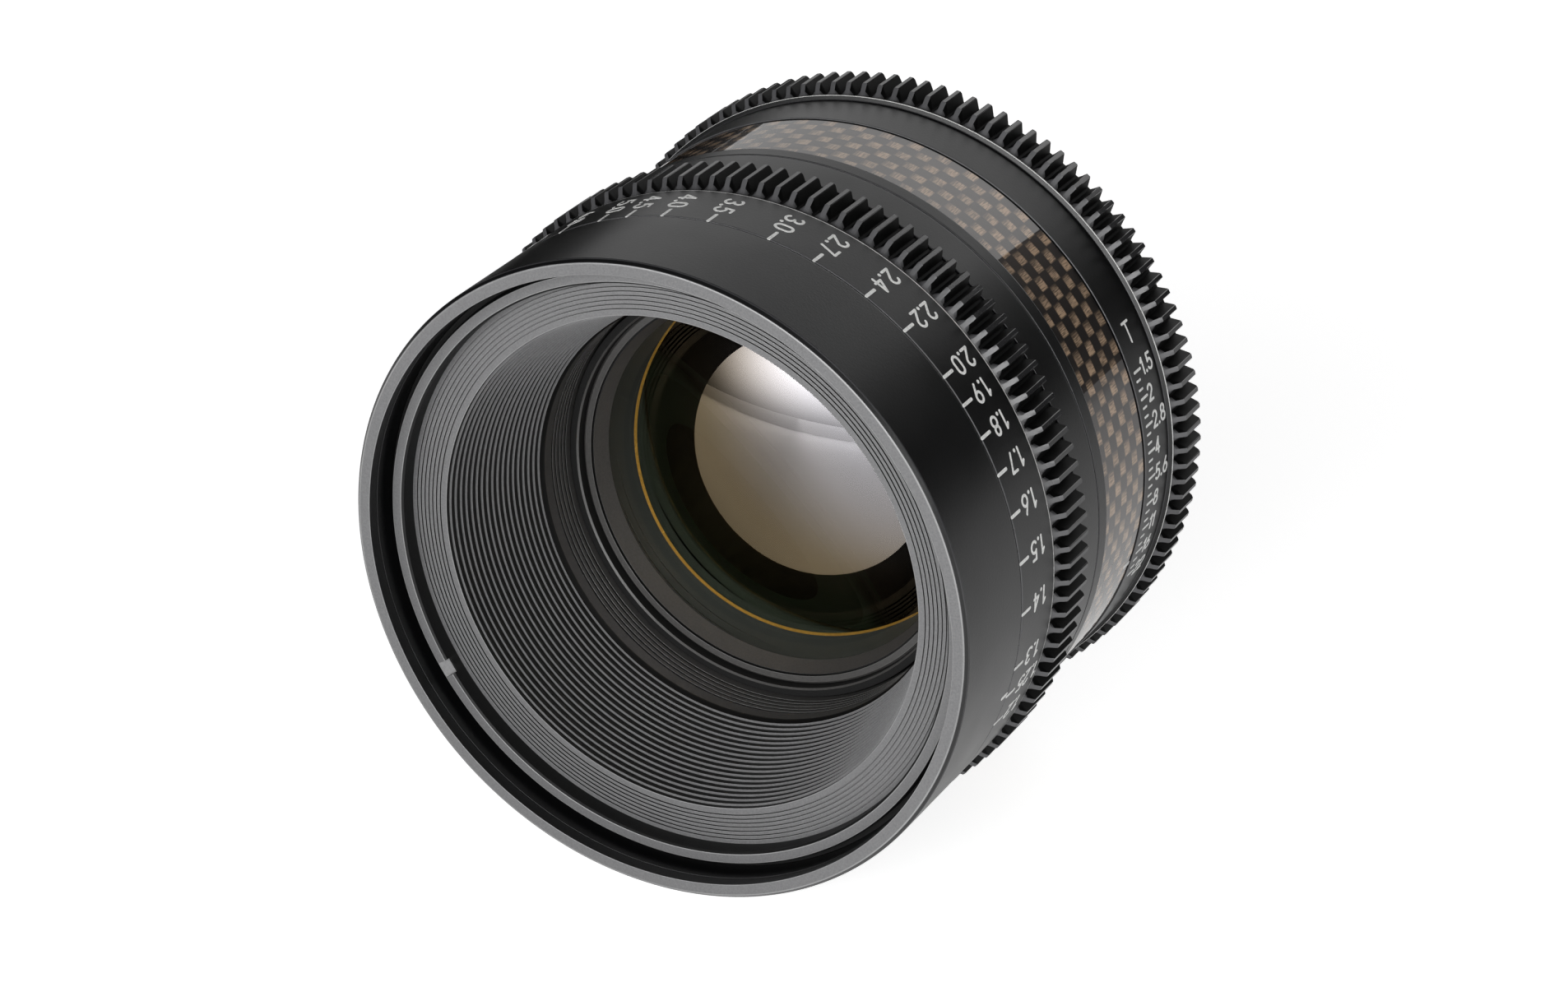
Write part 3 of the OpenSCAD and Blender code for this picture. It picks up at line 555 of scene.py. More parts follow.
@dataclass(frozen=True)
class Glass(Finish):
    """Polished optical glass with an antireflection coating that tints its reflections.

    Attributes:
        ior: Refractive index.
        mirrors: How many bare surfaces it mirrors like, with those behind it. Zero is a perfect coating.
        coating: Colour that the coating gives to reflections.
        slanted: Colour of the reflections where the glass is seen at a slant, if it differs.
        rim: Share of them that is left where the slant is steep, as it is near the blackened rim.
        slant: Slants between which the slanted colour comes in, where 0 is head on and 1 is grazing.
        steep: Slants between which the rim's share comes in.
    """

    ior: float = 1.52
    mirrors: float = 1.0
    coating: str = "#ffffff"
    slanted: str = ""
    rim: float = 1.0
    slant: tuple[float, float] = (0.03, 0.24)
    steep: tuple[float, float] = (0.25, 0.4)

    def wire(self, tree: bpy.types.NodeTree) -> None:
        """Lay out the nodes: light from the lamps passes straight through, so the cells behind are lit.

        Args:
            tree: The material's nodes.
        """
        clear = add_node(tree, "BsdfTransparent", {"Color": linear(self.colour)})
        path = add_node(tree, "LightPath")
        lamp = work_out(tree, "MAXIMUM", path.outputs["Is Shadow Ray"], path.outputs["Is Diffuse Ray"])
        both = add_node(tree, "MixShader", {0: lamp, 1: self.polish(tree), 2: clear.outputs[0]})
        add_node(tree, "OutputMaterial", {"Surface": both.outputs[0]})

    def polish(self, tree: bpy.types.NodeTree) -> bpy.types.NodeSocket:
        """Make the surface that bends light and mirrors a little of it in the coating's colour.

        Args:
            tree: The material's nodes.

        Returns:
            The output of its shader.
        """
        bent = add_node(tree, "BsdfRefraction", {
            "Color": linear(self.colour), "Roughness": self.roughness, "IOR": self.ior,
        })
        if not self.mirrors:
            return bent.outputs[0]
        mirror = add_node(tree, "BsdfAnisotropic", {
            "Roughness": self.roughness, "Color": linear(self.coating),
        })
        strength: Any = self.mirrors
        if self.slanted:
            facing = add_node(tree, "LayerWeight", {"Blend": 0.5}).outputs["Facing"]
            turned_away = scaled(tree, facing, self.slant, soft=True)
            tint = mixed(tree, turned_away, linear(self.coating), linear(self.slanted))
            tree.links.new(tint, mirror.inputs["Color"])
            # The blackened rim takes the light that meets it at a steep slant
            strength = scaled(tree, facing, self.steep, (self.mirrors, self.mirrors * self.rim))
        fresnel = add_node(tree, "Fresnel", {"IOR": self.ior}).outputs[0]
        share = work_out(tree, "MULTIPLY", fresnel, strength, clamp=True)
        return add_node(tree, "MixShader", {0: share, 1: bent.outputs[0], 2: mirror.outputs[0]}).outputs[0]


# Bead-blasted, black anodised aluminium: deep satin black with a fine sparkle, grey where light grazes it.
# The grain is drawn at 0.35 mm, coarser than the real blasting, so that it shows.
SATIN_BLACK = Finish("black_anodised_aluminium_blasted", "#080809", "#606062", 0.33,
                     specular=0.38, grain=0.35, relief=0.01, wear_and_highlight=0.6)
# Its forward faces, painted a paler grey with a visible speckle: painted light where the front softbox falls
# on them
LIT_FACE_PAINTED_GREY = Finish("black_anodised_aluminium_painted_lit_face", "#5a5a5b", "#a0a0a0", 0.5,
                   specular=0.75, relief=0.014, wear_and_highlight=0.7)
# The same aluminium hobbed into teeth before anodising: smoother tips, blacker
TOOTH_BLACK = Finish("black_anodised_aluminium_hobbed", "#080808", "#4a4a4c", 0.27, wear_and_highlight=0.7)
# The gaps between the teeth, painted near black as the shade that falls between the teeth
GAP_PAINTED_SHADE = Finish("black_anodised_aluminium_gap_painted_shade", "#030303", "#101010", 0.6, specular=0.15, wear_and_highlight=0.2)
# The slanted front ends of the teeth, painted a paler grey as lit from the front, which show as a row of grey
# facets
FACET_PAINTED_LIGHT = Finish("grey_anodised_aluminium_turned", "#333334", "#77777a", 0.42, specular=0.6, wear_and_highlight=0.5)
# Thin edges painted near white as highlights, which draw the light lines round the rings
EDGE_PAINTED_HIGHLIGHT = Finish("aluminium_edge_painted_highlight", "#dcdcda", "#ffffff", 0.35,
                     metallic=0.1, relief=0.004, mottle=0.08, wear_and_highlight=0.3)
# Turned aluminium with a flat black anodised skin
BAFFLE_BLACK = Finish("black_anodised_aluminium_turned", "#070707", "#3c3c3c", 0.5, specular=0.28)
# Flat black paint on the walls that must not reflect
CELL_BLACK = Finish("flat_black_lacquer", "#070707", "#181818", 0.6, specular=0.3, wear_and_highlight=0.3)
# Turned aluminium in dark grey anodising with some shine: the own colour of the rear cell and its ring, and
# on the front rings and the tube round the glass a paler copy that paints the light on their lit faces
CELL_GREY = Finish("dark_grey_anodised_aluminium_turned", "#3c3b3a", "#8a8987", 0.38,
                   specular=0.8, wear_and_highlight=0.5)
# Bare turned aluminium, pale with a soft shine
BARE_ALUMINIUM = Finish("aluminium_fine_turned", "#b9bbbd", "#d8d9da", 0.35, metallic=1.0, mottle=0.06)
# Stainless steel, ground fine: a cool grey mirror with a haze
MOUNT_STEEL = Finish("stainless_steel_ground", "#b4b5b6", "#d6d6d6", 0.28,
                     metallic=1.0, grain=0.25, relief=0.004, mottle=0.06)
# Blackened screw steel with a slight gloss
SCREW_STEEL = Finish("blackened_steel_turned", "#3a3a3c", "#8b8b8d", 0.32,
                     metallic=1.0, grain=0.2, relief=0.004, mottle=0.05, wear_and_highlight=0.6)
# Machined brass, warm and bright
BRASS = Finish("brass_machined", "#b8924e", "#d9bd83", 0.28, metallic=1.0, relief=0.005, mottle=0.05)
# Brass-coloured polished bevel, whose gold colour paints the glint seen as the gold line in the glass
GOLD_GLINT_EDGE = Finish("brass_bevel_painted_glint", "#e0a64e", "#f2c97e", 0.25, metallic=0.6, relief=0.003)
# Dull green-black anodising on the plate around the iris
PLATE_GREEN = Finish("green_black_anodised_aluminium", "#0a100b", "#182018", 0.5, relief=0.004, wear_and_highlight=0.3)
# Spring steel blades with a dark brown film, faintly shiny
BLADE_STEEL = Finish("spring_steel_browned", "#3b3026", "#5a5044", 0.45, metallic=1.0, relief=0.004, wear_and_highlight=0.3)
# Engraving filled with white enamel, slightly uneven
WHITE_ENAMEL = Finish("white_enamel_filled", "#f4f4f2", "#ffffff", 0.45, mottle=0.05, wear_and_highlight=0.3)
# Optical glass: the first surface mirrors the room, white where it is met head on and amber at a slant,
# and better coatings silence the ones behind
FRONT_GLASS = Glass("optical_glass_single_coated", "#f6f8f6", "#ffffff", 0.0, ior=1.9, mirrors=2.2,
                    coating="#f6f4fa", slanted="#c4ae8a", rim=0.25)
INNER_GLASS = Glass("optical_glass_multi_coated", "#f4f7f2", "#ffffff", 0.0, ior=1.75, mirrors=0.0)
# Glass of the rear group, whose coatings shine green and purple
GREEN_GLASS = Glass("optical_glass_green_coated", "#ecf2ea", "#ffffff", 0.0, ior=1.6, coating="#6f9a78")
PURPLE_GLASS = Glass("optical_glass_purple_coated", "#f0eef4", "#ffffff", 0.0, ior=1.6, coating="#9a84b8")


@functools.cache
def material_of(finish: Finish) -> bpy.types.Material:
    """Make a finish's material once."""
    return finish.build()


def make_piece(
    name: str,
    surface: Surface,
    finishes: Sequence[Finish],
    body: Body,
    nodes: Sequence[str] = (),
    sharp: float = SHARP,
) -> None:
    """Make a surface into a dressed piece that rides on a body.

    Args:
        name: Name of the piece.
        surface: Its mesh, in millimetres.
        finishes: Its finishes, by the surface's finish index.
        body: The body that it rides on.
        nodes: Nodes of the frame that it stands for.
        sharp: Angle in degrees from which its edges stay sharp in shading.
    """
    mesh = bpy.data.meshes.new(name)
    mesh.from_pydata((surface.points * MM).tolist(), [], surface.quads.tolist())
    edge = mesh.attributes.new("edge", "FLOAT", "POINT")
    edge.data.foreach_set("value", surface.edge.astype(np.float32))
    for finish in finishes:
        mesh.materials.append(material_of(finish))
    if surface.finish_index is not None:
        mesh.polygons.foreach_set("material_index", surface.finish_index.astype(np.int32))
    work = bmesh.new()
    work.from_mesh(mesh)
    bmesh.ops.remove_doubles(work, verts=work.verts, dist=MERGE)
    work.to_mesh(mesh)
    work.free()
    mesh.shade_smooth()
    mesh.set_sharp_from_angle(angle=math.radians(sharp))
    piece = bpy.data.objects.new(name, mesh)
    bpy.context.scene.collection.objects.link(piece)
    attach(piece, body.value)
    if nodes:
        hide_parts(*nodes)
    LOG.info("%s: %d faces on %s", name, len(mesh.polygons), body.value)


def dress(finish: Finish, *nodes: str) -> None:
    """Give a finish to nodes of the frame that keep their own shape.

    Args:
        finish: The finish.
        nodes: Names of the nodes.
    """
    for node in nodes:
        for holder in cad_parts[node].material_slots:
            holder.material = material_of(finish)
        LOG.info("%s: dressed in %s", node, finish.name)


# Marks


def arc(cx: float, cy: float, rx: float, ry: float, first: float, last: float) -> np.ndarray:
    """Draw an elliptic arc, (cx + rx cos t, cy + ry sin t).

    Args:
        cx: Middle across.
        cy: Middle up.
        rx: Half its width.
        ry: Half its height.
        first: Angle of its start in degrees.
        last: Angle of its end in degrees.

    Returns:
        Its points, one for every 20 degrees or so.
    """
    count = 3 + int(abs(last - first) / 20)
    t = np.radians(np.linspace(first, last, count))
    return np.stack([cx + rx * np.cos(t), cy + ry * np.sin(t)], axis=1)


def line(*points: tuple[float, float]) -> np.ndarray:
    """Points of an open polyline."""
    return np.array(points, float)


# Strokes of an engraver's round-ended digits, in a box 0.56 wide and 1 high
STROKES: dict[str, list[np.ndarray]] = {
    "0": [np.concatenate([arc(0.28, 0.7, 0.28, 0.3, 0, 180), arc(0.28, 0.3, 0.28, 0.3, 180, 360),
                          line((0.56, 0.7))])],
    "1": [line((0.02, 0.78), (0.22, 1.0)), line((0.22, 1.0), (0.22, 0.0))],
    "2": [np.concatenate([arc(0.28, 0.72, 0.28, 0.28, 165, -30), line((0.0, 0.0))]),
          line((0.0, 0.0), (0.56, 0.0))],
    "3": [arc(0.27, 0.76, 0.25, 0.24, 150, -90), arc(0.27, 0.26, 0.29, 0.26, 90, -150)],
    "4": [line((0.4, 0.0), (0.4, 1.0)), line((0.4, 1.0), (0.0, 0.28)), line((0.0, 0.28), (0.56, 0.28))],
    "5": [line((0.5, 1.0), (0.1, 1.0)), line((0.1, 1.0), (0.05, 0.52)),
          arc(0.26, 0.31, 0.3, 0.31, 130, -145)],
    "6": [arc(0.28, 0.29, 0.28, 0.29, 0, 360), line((0.03, 0.42), (0.36, 1.0))],
    "7": [line((0.0, 1.0), (0.54, 1.0)), line((0.54, 1.0), (0.18, 0.0))],
    "8": [arc(0.28, 0.76, 0.23, 0.24, 0, 360), arc(0.28, 0.27, 0.28, 0.27, 0, 360)],
    "9": [arc(0.28, 0.71, 0.28, 0.29, 0, 360), line((0.53, 0.58), (0.2, 0.0))],
    ".": [line((0.09, 0.03), (0.09, 0.04))],
    "T": [line((0.0, 1.0), (0.6, 1.0)), line((0.3, 1.0), (0.3, 0.0))],
    "o": [arc(0.2, 0.45, 0.2, 0.24, 0, 360), arc(0.6, 0.45, 0.2, 0.24, 180, -180)],
}
ADVANCE: dict[str, float] = {"1": 0.48, ".": 0.4, "o": 0.98}
DIGIT_ADVANCE = 0.78
DIGIT_GAP = 0.2


@dataclass(frozen=True)
class Marker:
    """White marks filled into a cylinder.

    Attributes:
        radius: Radius of the cylinder.
        proud: How far the filling stands above the metal.
        pen: Width of the strokes.
        dot: How much wider a decimal point is.
    """

    radius: float
    proud: float = 0.03
    pen: float = 0.42
    dot: float = 1.3

    def stroke(self, path: np.ndarray, width: float, angle: float, station: float) -> Surface:
        """Lay a round-ended slab along a path on the cylinder.

        The path's second coordinate steps round the axis and its first along it. At distance d past
        either end the half width is sqrt(h^2 - d^2), so the ends are round.

        Args:
            path: Points in millimetres, first along the axis towards the front, then round the axis.
            width: Width of the stroke.
            angle: Angle of the path's origin.
            station: Station of the path's origin.

        Returns:
            The slab.
        """
        half = width / 2
        step = np.gradient(path, axis=0)
        step /= np.linalg.norm(step, axis=1)[:, None]
        bend = np.radians([90.0, 60.0, 30.0])
        head = path[0] - step[0] * half * np.sin(bend)[:, None]
        tail = path[-1] + step[-1] * half * np.sin(bend[::-1])[:, None]
        line_points = np.concatenate([head, path, tail])
        # A thousandth more keeps the caps from shrinking to a point
        ends = half * np.cos(bend) + 1e-3
        reach = np.concatenate([ends, np.full(len(path), half), ends[::-1]])
        run = np.concatenate([np.repeat(step[:1], 3, 0), step, np.repeat(step[-1:], 3, 0)])
        side = np.stack([-run[:, 1], run[:, 0]], axis=1) * reach[:, None]
        left, right = line_points - side, line_points + side
        flat = np.stack([left, left, right, right], axis=1)
        height = self.radius + np.array([-self.proud, self.proud, self.proud, -self.proud])
        a = angle + flat[..., 1] / self.radius
        points = np.stack([height * np.cos(a), -(station + flat[..., 0]), height * np.sin(a)], axis=-1)
        count = len(line_points)
        number = np.arange(count * 4).reshape(count, 4)
        ring, ahead = np.roll(number, -1, 1)[:-1], number[1:]
        quads = np.stack([number[:-1], ahead, np.roll(ahead, -1, 1), ring], axis=-1).reshape(-1, 4)
        caps = np.stack([number[0], number[-1][::-1]])
        quads = np.concatenate([quads, caps])
        return Surface(points.reshape(-1, 3), quads, np.zeros(count * 4))

    def word(self, text: str, height: float, angle: float, station: float, reading: Reading) -> Surface:
        """Write a number across the cylinder.

        Args:
            text: Characters that STROKES holds.
            height: Height of a digit.
            angle: Angle of the text's middle line.
            station: Station where the text ends, if it reads towards the front, or else starts.
            reading: Which way it reads.

        Returns:
            All its strokes.
        """
        advance = [ADVANCE.get(c, DIGIT_ADVANCE) for c in text]
        starts = np.concatenate([[0.0], np.cumsum(advance)[:-1]])
        length = float(np.sum(advance)) - DIGIT_GAP
        origin = -length if reading is Reading.TOWARDS_FRONT else 0.0
        slabs = []
        for character, start in zip(text, starts):
            pen = self.pen * (self.dot if character == "." else 1)
            for path in STROKES[character]:
                x = (origin + start + path[:, 0]) * height * reading.value
                y = (0.5 - path[:, 1]) * height * reading.value
                slabs.append(self.stroke(np.stack([x, y], axis=1), pen, angle, station))
        return joined(slabs)

    def tick(self, angle: float, first: float, last: float, width: float) -> Surface:
        """A straight mark along the axis between two stations."""
        return self.stroke(line((0.0, 0.0), (last - first, 0.0)), width, angle, first)


# Sub-assemblies


@dataclass
class FrontHousing:
    """Fixed front: the barrel with its flat rim, the filter ring and the ridged baffle."""

    barrel: Span = span_field("front_barrel")
    ring: Span = span_field("filter_ring")
    baffle: Span = span_field("front_baffle")
    rim_bore: float = 45.25
    rim_chamfer: float = 0.55
    seat_drop: float = 2.6
    inner_bore: float = 39.0
    collar_bore: float = 41.0
    collar_length: float = 4.0
    line_depth: float = 1.95
    line_half: float = 0.06
    line_cut: float = 0.15
    face_reach: float = 1.0
    thread_bore: float = 42.46
    ring_land: float = 44.2
    land_foot: float = 0.25
    land_shoulder: float = 0.15
    land_edge: float = 0.1
    ring_bevel: float = 0.3
    ring_groove: float = 1.6
    ring_play: float = 0.03
    notch_angles: tuple[float, float] = (math.radians(33), math.radians(213))
    notch_width: float = 2.2
    notch_reach: float = 43.66
    notch_slope: float = 1.02
    notch_depth: float = 1.0
    ridges: int = 18
    first_ridge: float = 7.77
    ridge_pitch: float = 1.017
    ridge_radius: float = 36.67
    ridge_fall: float = 0.2446
    ridge_lip: float = 0.06
    ridge_width: float = 0.2
    ridge_foot: float = 0.32
    face_grooves: int = 7
    groove_pitch: float = 0.63
    groove_start: float = 37.85
    groove_width: float = 0.2
    groove_depth: float = 0.3
    lip: float = 36.9
    cone_wall: float = 0.8
    face_play: float = 0.25
    tube_bore: float = 32.2
    tube_wall: float = 1.4
    tube_start: float = 26.0
    dark_length: float = 0.7
    plain_length: float = 2.0
    grooved_length: float = 4.8
    tube_grooves: int = 5
    slot_flank: float = 0.05
    slot_floor: float = 0.3
    slot_width: float = 0.35
    sharp: float = 50.0

    def build(self) -> None:
        """Build the three pieces."""
        self.build_barrel()
        self.build_ring()
        self.build_baffle()

    def build_barrel(self) -> None:
        """Turn the barrel, with a fine line half way down the counterbore."""
        b, seat = self.barrel, self.ring.rear - self.seat_drop
        line_z = b.front - self.line_depth
        # The rim's forward face takes the paler grey, painted as lit from the front
        surface = turned([
            (self.inner_bore, b.rear, 0), (b.radius, b.rear, 0.2),
            (b.radius, b.front - self.rim_chamfer, 0.15), (b.radius - self.rim_chamfer, b.front, 0.15),
            (self.rim_bore, b.front, 0.1), (self.rim_bore, line_z + self.line_half, 0.02),
            (self.rim_bore + self.line_cut, line_z, 0.02), (self.rim_bore, line_z - self.line_half, 0.02),
            (self.rim_bore, seat, 0), (self.collar_bore, seat, 0),
            (self.collar_bore, b.rear + self.collar_length, 0),
            (self.inner_bore, b.rear + self.collar_length, 0),
        ], WIDE_ROWS, faced=b.front - self.face_reach)
        make_piece("front_barrel_shell", surface, [SATIN_BLACK, LIT_FACE_PAINTED_GREY], Body.BARREL,
                   ["front_barrel"])

    def build_ring(self) -> None:
        """Turn the filter ring, with a groove round its land and two spanner notches cut into it."""
        r, top = self.ring, self.ring.front
        half = self.notch_width / 2 / self.thread_bore
        edges = [
            a + s * half * k for a in self.notch_angles for s in (-1, 1) for k in (1.0, self.notch_slope)
        ]
        angles = full_turn(ROWS, *edges)
        outer, groove = self.rim_bore - self.ring_play, top - self.ring_groove
        profile = rounded([
            (self.thread_bore, r.rear, 0), (outer, r.rear, 0), (outer, groove, 0.05),
            (self.ring_land + self.land_foot, groove, 0.05),
            (self.ring_land + self.land_shoulder, top - self.ring_bevel, 0.05),
            (self.ring_land - self.land_edge, top, 0.08), (self.thread_bore + self.ring_bevel, top, 0.08),
            (self.thread_bore, top - self.ring_bevel, 0.05),
        ])
        rows = np.broadcast_to(profile, (len(angles),) + profile.shape).copy()
        away = np.abs(np.angle(np.exp(1j * (angles[:, None] - np.array(self.notch_angles)))))
        # A hair more than half the width, so that the rows on a notch's edge belong to it
        in_notch = (away.min(1) <= half * 1.001)[:, None] & (rows[..., 0] < self.notch_reach)
        rows[..., 1] = np.where(in_notch, np.minimum(rows[..., 1], top - self.notch_depth), rows[..., 1])
        surface = swept(rows, angles)
        # The floor of the groove stays black; the forward faces in front of it take a paler grey, painted as
        # lit from the front
        in_front = painted_light_faces(profile, groove + self.ring_bevel)
        surface.finish_index = np.tile(in_front.astype(int), len(angles))
        make_piece("filter_ring_notched", surface, [BAFFLE_BLACK, LIT_FACE_PAINTED_GREY], Body.BARREL,
                   ["filter_ring"])

    def build_baffle(self) -> None:
        """Turn the baffle: a grooved face, a cone of ridges and a grooved tube."""
        top, rim = self.ring.rear, self.barrel.front
        cone = top - self.seat_drop
        tube = rim - self.tube_start
        bore, wall, face = self.tube_bore, self.tube_bore + self.tube_wall, self.rim_bore - self.face_play
        corners: list[Corner] = [
            (bore, self.baffle.rear, 0), (wall, self.baffle.rear, 0), (wall, tube, 0),
            (self.lip + self.cone_wall, cone, 0), (face, cone, 0), (face, top, 0.05),
        ]
        floor = top - self.groove_depth
        for r in self.groove_start + self.groove_pitch * np.arange(self.face_grooves)[::-1]:
            corners += [(r + self.groove_width, top, 0.04), (r + self.groove_width, floor, 0.02),
                        (r, floor, 0.02), (r, top, 0.04)]
        corners.append((self.lip, top, 0.12))
        for k in range(self.ridges):
            z = rim - self.first_ridge - self.ridge_pitch * k
            r = self.ridge_radius - self.ridge_fall * k
            corners += [(r + self.ridge_fall + 0.03, z, 0.03), (r - self.ridge_lip, z, 0.04),
                        (r - self.ridge_lip, z - self.ridge_width, 0.04),
                        (r + 0.02, z - self.ridge_foot, 0.03)]
        corners.append((bore, tube, 0.1))
        deep = bore + self.groove_depth
        for k in range(self.tube_grooves):
            z = tube - self.plain_length - self.grooved_length / self.tube_grooves * k
            corners += [(bore, z, 0.03), (deep, z - self.slot_flank, 0.02),
                        (deep, z - self.slot_floor, 0.02), (bore, z - self.slot_width, 0.03)]
        # Forward faces take a paler grey and the tube past its dark band a pale grey, both painted as lit;
        # the rest stays black
        pale = [(self.baffle.rear, tube - self.dark_length, bore + PLAY)]
        surface = turned(corners, BAFFLE_ROWS, faced=tube, bands=pale, steps=3)
        # The pale faces down in the tube take the third finish, a paler grey painted as the light falling on
        # them
        in_tube = -surface.points[surface.quads[:, 0], 1] < tube
        surface.finish_index += surface.finish_index * in_tube
        make_piece("front_baffle_ridged", surface, [BAFFLE_BLACK, LIT_FACE_PAINTED_GREY, CELL_GREY], Body.BARREL,
                   ["front_baffle"], self.sharp)


class RingPart(IntEnum):
    """Faces of a geared ring, in the order of RING_FINISHES."""

    BAND = 0
    TIP = 1
    PAINTED_HIGHLIGHT = 2
    GAP = 3
    FACET = 4


RING_FINISHES = [SATIN_BLACK, TOOTH_BLACK, EDGE_PAINTED_HIGHLIGHT, GAP_PAINTED_SHADE, FACET_PAINTED_LIGHT]


@dataclass(frozen=True)
class Gear:
    """Follow-focus teeth.

    Attributes:
        rear: Station of the teeth's rear faces.
        length: Length of the tips.
        bevel: Length of the bevel in front of the tips.
        module: Tooth module.
        teeth: Number of teeth.
        relief: Radius of the core behind and in front of the teeth.
        edge: Size of the cut corners.
        chamfer: Size of the chamfer behind the tips.
        dedendum: Depth of the gaps below the pitch circle, in modules.
        pressure: Slant of the flanks in degrees.
        steps: Points along the bevel.
    """

    rear: float
    length: float
    bevel: float = 1.5
    module: float = 0.8
    teeth: int = 120
    relief: float = 46.8
    edge: float = 0.1
    chamfer: float = 0.5
    dedendum: float = 1.25
    pressure: float = 20.0
    steps: int = 7

    @property
    def tip(self) -> float:
        """Radius of the tips."""
        return self.module * (self.teeth / 2 + 1)

    @property
    def root(self) -> float:
        """Radius of the gaps' floors."""
        return self.module * (self.teeth / 2 - self.dedendum)

    @property
    def end(self) -> float:
        """Station where the bevel meets the core."""
        return self.rear + self.length + self.bevel

    def corner_angles(self) -> tuple[np.ndarray, np.ndarray]:
        """Work out half a tooth's outline: straight flanks, with corners cut by the edge size.

        Returns:
            Angles from the middle of a gap to the middle of a tooth, and the radius at each.
        """
        quarter, slope = math.pi * self.module / 4, math.tan(math.radians(self.pressure))
        half = math.pi / self.teeth
        floor = half - (quarter + self.dedendum * self.module * slope) / self.root
        crest = half - (quarter - self.module * slope) / self.tip
        rise = (crest - floor) / (self.tip - self.root)
        e = self.edge
        angles = np.array([
            0, floor - e * rise, floor + e * rise, crest - e * rise, crest + 1.5 * e * rise, half,
        ])
        radii = np.array([self.root, self.root, self.root + e, self.tip - e, self.tip, self.tip])
        return angles, radii

    def angles(self) -> np.ndarray:
        """All angles that the teeth need, all round."""
        half, _ = self.corner_angles()
        pitch = np.unique(np.concatenate([half, -half[1:-1]]))
        return np.sort(np.mod(np.arange(self.teeth)[:, None] * TURN / self.teeth + pitch, TURN).ravel())

    def stations(self, angles: np.ndarray) -> np.ndarray:
        """Shape the toothed stretch.

        The radius is the lesser of the tooth's outline at this angle and the cones at this station: the
        bevel in front of the tips and the small chamfer behind them.

        Args:
            angles: Angles round the axis.

        Returns:
            Radius, station and edge weight as (angles, n, 3).
        """
        outline = self.outline(angles)
        z, limit = self.cones()
        r = np.minimum(outline[:, None], limit[None])
        weight = np.broadcast_to((np.abs(self.tip - self.edge - outline) < 2 * self.edge)[:, None], r.shape)
        return np.stack([r, np.broadcast_to(z, r.shape), weight.astype(float)], axis=-1)

    def outline(self, angles: np.ndarray) -> np.ndarray:
        """Read the teeth's outline.

        Args:
            angles: Angles round the axis.

        Returns:
            The radius at each.
        """
        at, radii = self.corner_angles()
        pitch = TURN / self.teeth
        return np.interp(np.abs((angles + pitch / 2) % pitch - pitch / 2), at, radii)

    def cones(self) -> tuple[np.ndarray, np.ndarray]:
        """Shape the teeth's two ends.

        Returns:
            Stations along the teeth, and the radius that the chamfer and the bevel leave at each.
        """
        tips = self.rear + self.length
        z = np.concatenate([
            [self.rear, self.rear], self.rear + self.chamfer * np.array([0.4, 1.0]), [tips - self.edge],
            np.linspace(tips, self.end, self.steps),
        ])
        limit = np.interp(z, [self.rear, self.rear + self.chamfer, tips, self.end],
                          [self.tip - self.chamfer, self.tip, self.tip, self.relief])
        limit[0] = self.relief
        return z, limit

    def finishes(self, angles: np.ndarray) -> np.ndarray:
        """Tell tips, gaps with flanks, and the bevel's facets apart.

        Args:
            angles: Angles round the axis.

        Returns:
            The RingPart of each face of the toothed stretch.
        """
        following = np.roll(angles, -1)
        following[-1] += TURN
        outline = self.outline((angles + following) / 2)[:, None]
        z, limit = self.cones()
        middle = (z[:-1] + z[1:]) / 2
        low = (limit[:-1] + limit[1:]) / 2
        on_bevel = (middle > self.rear + self.length)[None] & (low[None] < outline)
        on_tip = (outline > self.tip - self.edge) & ~on_bevel
        return np.where(on_bevel, RingPart.FACET, np.where(on_tip, RingPart.TIP, RingPart.GAP))


def geared_ring(
    lower: np.ndarray, gear: Gear, upper: np.ndarray, edges: Sequence[tuple[float, float, RingPart]]
) -> Surface:
    """A ring whose profile runs up to its gear, over the teeth and on to its front.

    Args:
        lower: Profile up to the teeth's rear faces, as (n, 3).
        gear: The teeth.
        upper: Profile from the end of the bevel, as (n, 3).
        edges: Two stations and what the outer faces between them are.

    Returns:
        The ring's surface.
    """
    angles = gear.angles()
    count = len(angles)
    parts = [np.broadcast_to(p, (count,) + p.shape) for p in (lower, upper)]
    teeth = gear.stations(angles)
    profile = np.concatenate([parts[0], teeth, parts[1]], axis=1)
    surface = swept(profile, angles)
    columns = np.zeros(profile.shape[1], int)
    first = len(lower) + teeth.shape[1]
    middle = (upper[:-1] + upper[1:]) / 2
    for rear, front, part in edges:
        inside = (middle[:, 1] > rear) & (middle[:, 1] < front) & (middle[:, 0] > gear.relief)
        columns[first:-1][inside] = part
    index = np.broadcast_to(columns, profile.shape[:2]).copy()
    index[:, len(lower):first - 1] = gear.finishes(angles)
    surface.finish_index = index.reshape(-1)
    return surface


